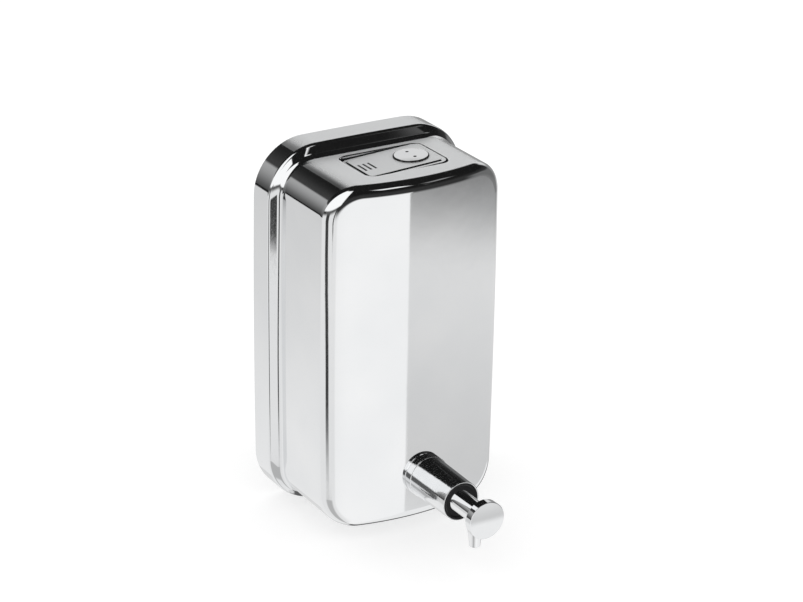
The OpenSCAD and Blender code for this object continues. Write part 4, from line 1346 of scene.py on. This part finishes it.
turned("lid_pin", "tank", "plain_steel", ["hinge_pin"], [
    (0, -PIN_HALF), (PIN_R, -PIN_HALF, 0.35), (PIN_R, PIN_HALF, 0.35), (0, PIN_HALF)],
    HINGE_PLACE @ Matrix.Rotation(math.pi / 2, 4, "X"), steps=SMALL_STEPS)

# %% [markdown]
# ## Pressed and folded sheets
# Bracket, hanger, rear wall, filler pan, hinge leaf and cam are sheet steel, and the pump's boss
# and washer are plain rings. Their solids are right but have sharp edges. Each copy has its
# loose triangles joined and its flat faces made whole, and a Bevel modifier then rounds the
# edges as a press or a deburring wheel does.

# %% Rounded copies of the sheet pieces
BODY_OF = {node: body for body, members in frame["record"]["behaviour"]["bodies"].items()
           for node in members}
SLOT_OF = {row["node"]: row["material_slot"] for row in frame["record"]["subparts"]}
FLAT_ANGLE = math.radians(0.5)
EDGE_ANGLE = math.radians(30)
WELDED = 1e-6
SHEETS = (("wall_plate", "wall_bracket", 0.4), ("tank_hanger", "hanger_frame", 0.35),
          ("tank_rear", "back_plate", 0.2), ("filler_pan", "filler_frame", 0.25),
          ("lid_leaf", "hinge_leaf", 0.2), ("lock_finger", "lock_cam", 0.3),
          ("thread_boss", "valve_boss", 0.3), ("front_washer", "outer_gasket", 0.25))


def rounded_copy(name, node, width):
    """A node's solid with whole faces and rounded edges."""
    mesh = frame["nodes"][node].data.copy()
    work = bmesh.new()
    work.from_mesh(mesh)
    bmesh.ops.remove_doubles(work, verts=work.verts, dist=WELDED)
    bmesh.ops.dissolve_limit(work, angle_limit=FLAT_ANGLE, verts=work.verts, edges=work.edges)
    work.to_mesh(mesh)
    work.free()
    mesh.name = name
    obj = new_object(name, mesh)
    mesh.shade_smooth()
    mesh.set_sharp_from_angle(angle=EDGE_ANGLE)
    edge = obj.modifiers.new("edge", "BEVEL")
    edge.width = width * MM
    edge.segments = 3
    edge.limit_method = "ANGLE"
    edge.angle_limit = EDGE_ANGLE
    edge.harden_normals = True
    apply_modifiers(obj)
    slot = SLOT_OF[node]
    obj.data.materials.clear()
    obj.data.materials.append(FINISHES[slot])
    return settle(obj, BODY_OF[node], [node])


for name, node, width in SHEETS:
    rounded_copy(name, node, width)
for name in ("thread_boss", "front_washer"):
    bpy.data.objects[name].visible_glossy = False

# %% [markdown]
# ## Weld along the rear wall
# The rear wall is welded into the shell all round. A weld is a row of small overlapping drops
# that follows the seam, so a node tree sets one long drop at each step along the path.

# %% Weld tree
WELD_S = 8.9
WELD_INSET = 1.9
DROP_SPACING = 1.6
DROP_R = 0.9
DROP_STRETCH = (1.7, 1.0, 1.0)
weld_tree, weld_in, weld_out = geometry_tree("weld_bead", [
    ("Spacing", FLOAT), ("Drop radius", FLOAT)])
seam = weld_tree.nodes.new("GeometryNodeMeshToCurve")
stepped = weld_tree.nodes.new("GeometryNodeResampleCurve")
stepped.mode = "LENGTH"
drop = weld_tree.nodes.new("GeometryNodeMeshIcoSphere")
drop.inputs["Subdivisions"].default_value = 2
along = weld_tree.nodes.new("GeometryNodeInputTangent")
lean = weld_tree.nodes.new("FunctionNodeAlignRotationToVector")
lean.axis = "X"
drops = weld_tree.nodes.new("GeometryNodeInstanceOnPoints")
drops.inputs["Scale"].default_value = DROP_STRETCH
given = weld_in.outputs
join(weld_tree, (given["Geometry"], seam.inputs["Mesh"]),
     (seam.outputs[0], stepped.inputs["Curve"]), (given["Spacing"], stepped.inputs["Length"]),
     (given["Drop radius"], drop.inputs["Radius"]), (along.outputs[0], lean.inputs["Vector"]),
     (stepped.outputs[0], drops.inputs["Points"]), (drop.outputs["Mesh"], drops.inputs["Instance"]),
     (lean.outputs[0], drops.inputs["Rotation"]))
close_tree(weld_tree, drops.outputs[0], weld_out, FINISHES["plain_steel"])

# %% Weld
seam_points = flange_ring(WELD_INSET, WELD_S) * MM
seam_count = len(seam_points)
seam_mesh = bpy.data.meshes.new("rear_weld")
seam_mesh.from_pydata(seam_points.tolist(),
                      [(i, (i + 1) % seam_count) for i in range(seam_count)], [])
grown("rear_weld", "tank", [], weld_tree, {
    "Spacing": DROP_SPACING * MM, "Drop radius": DROP_R * MM}, seam_mesh)

# %% [markdown]
# ## Marks on the lid
# Near its hinge the lid has a small mark of three plain dark bars, which shows the hinged side.
# Repeated bars are a task for a node tree: it sets one thin bar at each point of a short line.

# %% Mark tree
mark_tree, mark_in, mark_out = geometry_tree("lid_marks", [
    ("Count", "NodeSocketInt"), ("Pitch", "NodeSocketVector"), ("Bar size", "NodeSocketVector")])
mark_line = mark_tree.nodes.new("GeometryNodeMeshLine")
bar = mark_tree.nodes.new("GeometryNodeMeshCube")
bars = mark_tree.nodes.new("GeometryNodeInstanceOnPoints")
given = mark_in.outputs
join(mark_tree, (given["Count"], mark_line.inputs["Count"]),
     (given["Pitch"], mark_line.inputs["Offset"]), (given["Bar size"], bar.inputs["Size"]),
     (mark_line.outputs[0], bars.inputs["Points"]), (bar.outputs["Mesh"], bars.inputs["Instance"]))
close_tree(mark_tree, bars.outputs[0], mark_out, FINISHES["black_plastic"])

# %% Lid marks
MARK_PITCH = 2.9
BAR_SIZE = (1.1, 9, 0.06)
on_lid = AT_LID @ Matrix.Translation((-19.0, 0, LID_TOP))
mark_place = Matrix.Translation(on_lid.translation * MM) @ on_lid.to_3x3().to_4x4()
grown("lid_marks", "lid", [], mark_tree, {
    "Count": 3, "Pitch": (MARK_PITCH * MM, 0, 0),
    "Bar size": tuple(side * MM for side in BAR_SIZE)},
    bpy.data.meshes.new("lid_marks"), mark_place)
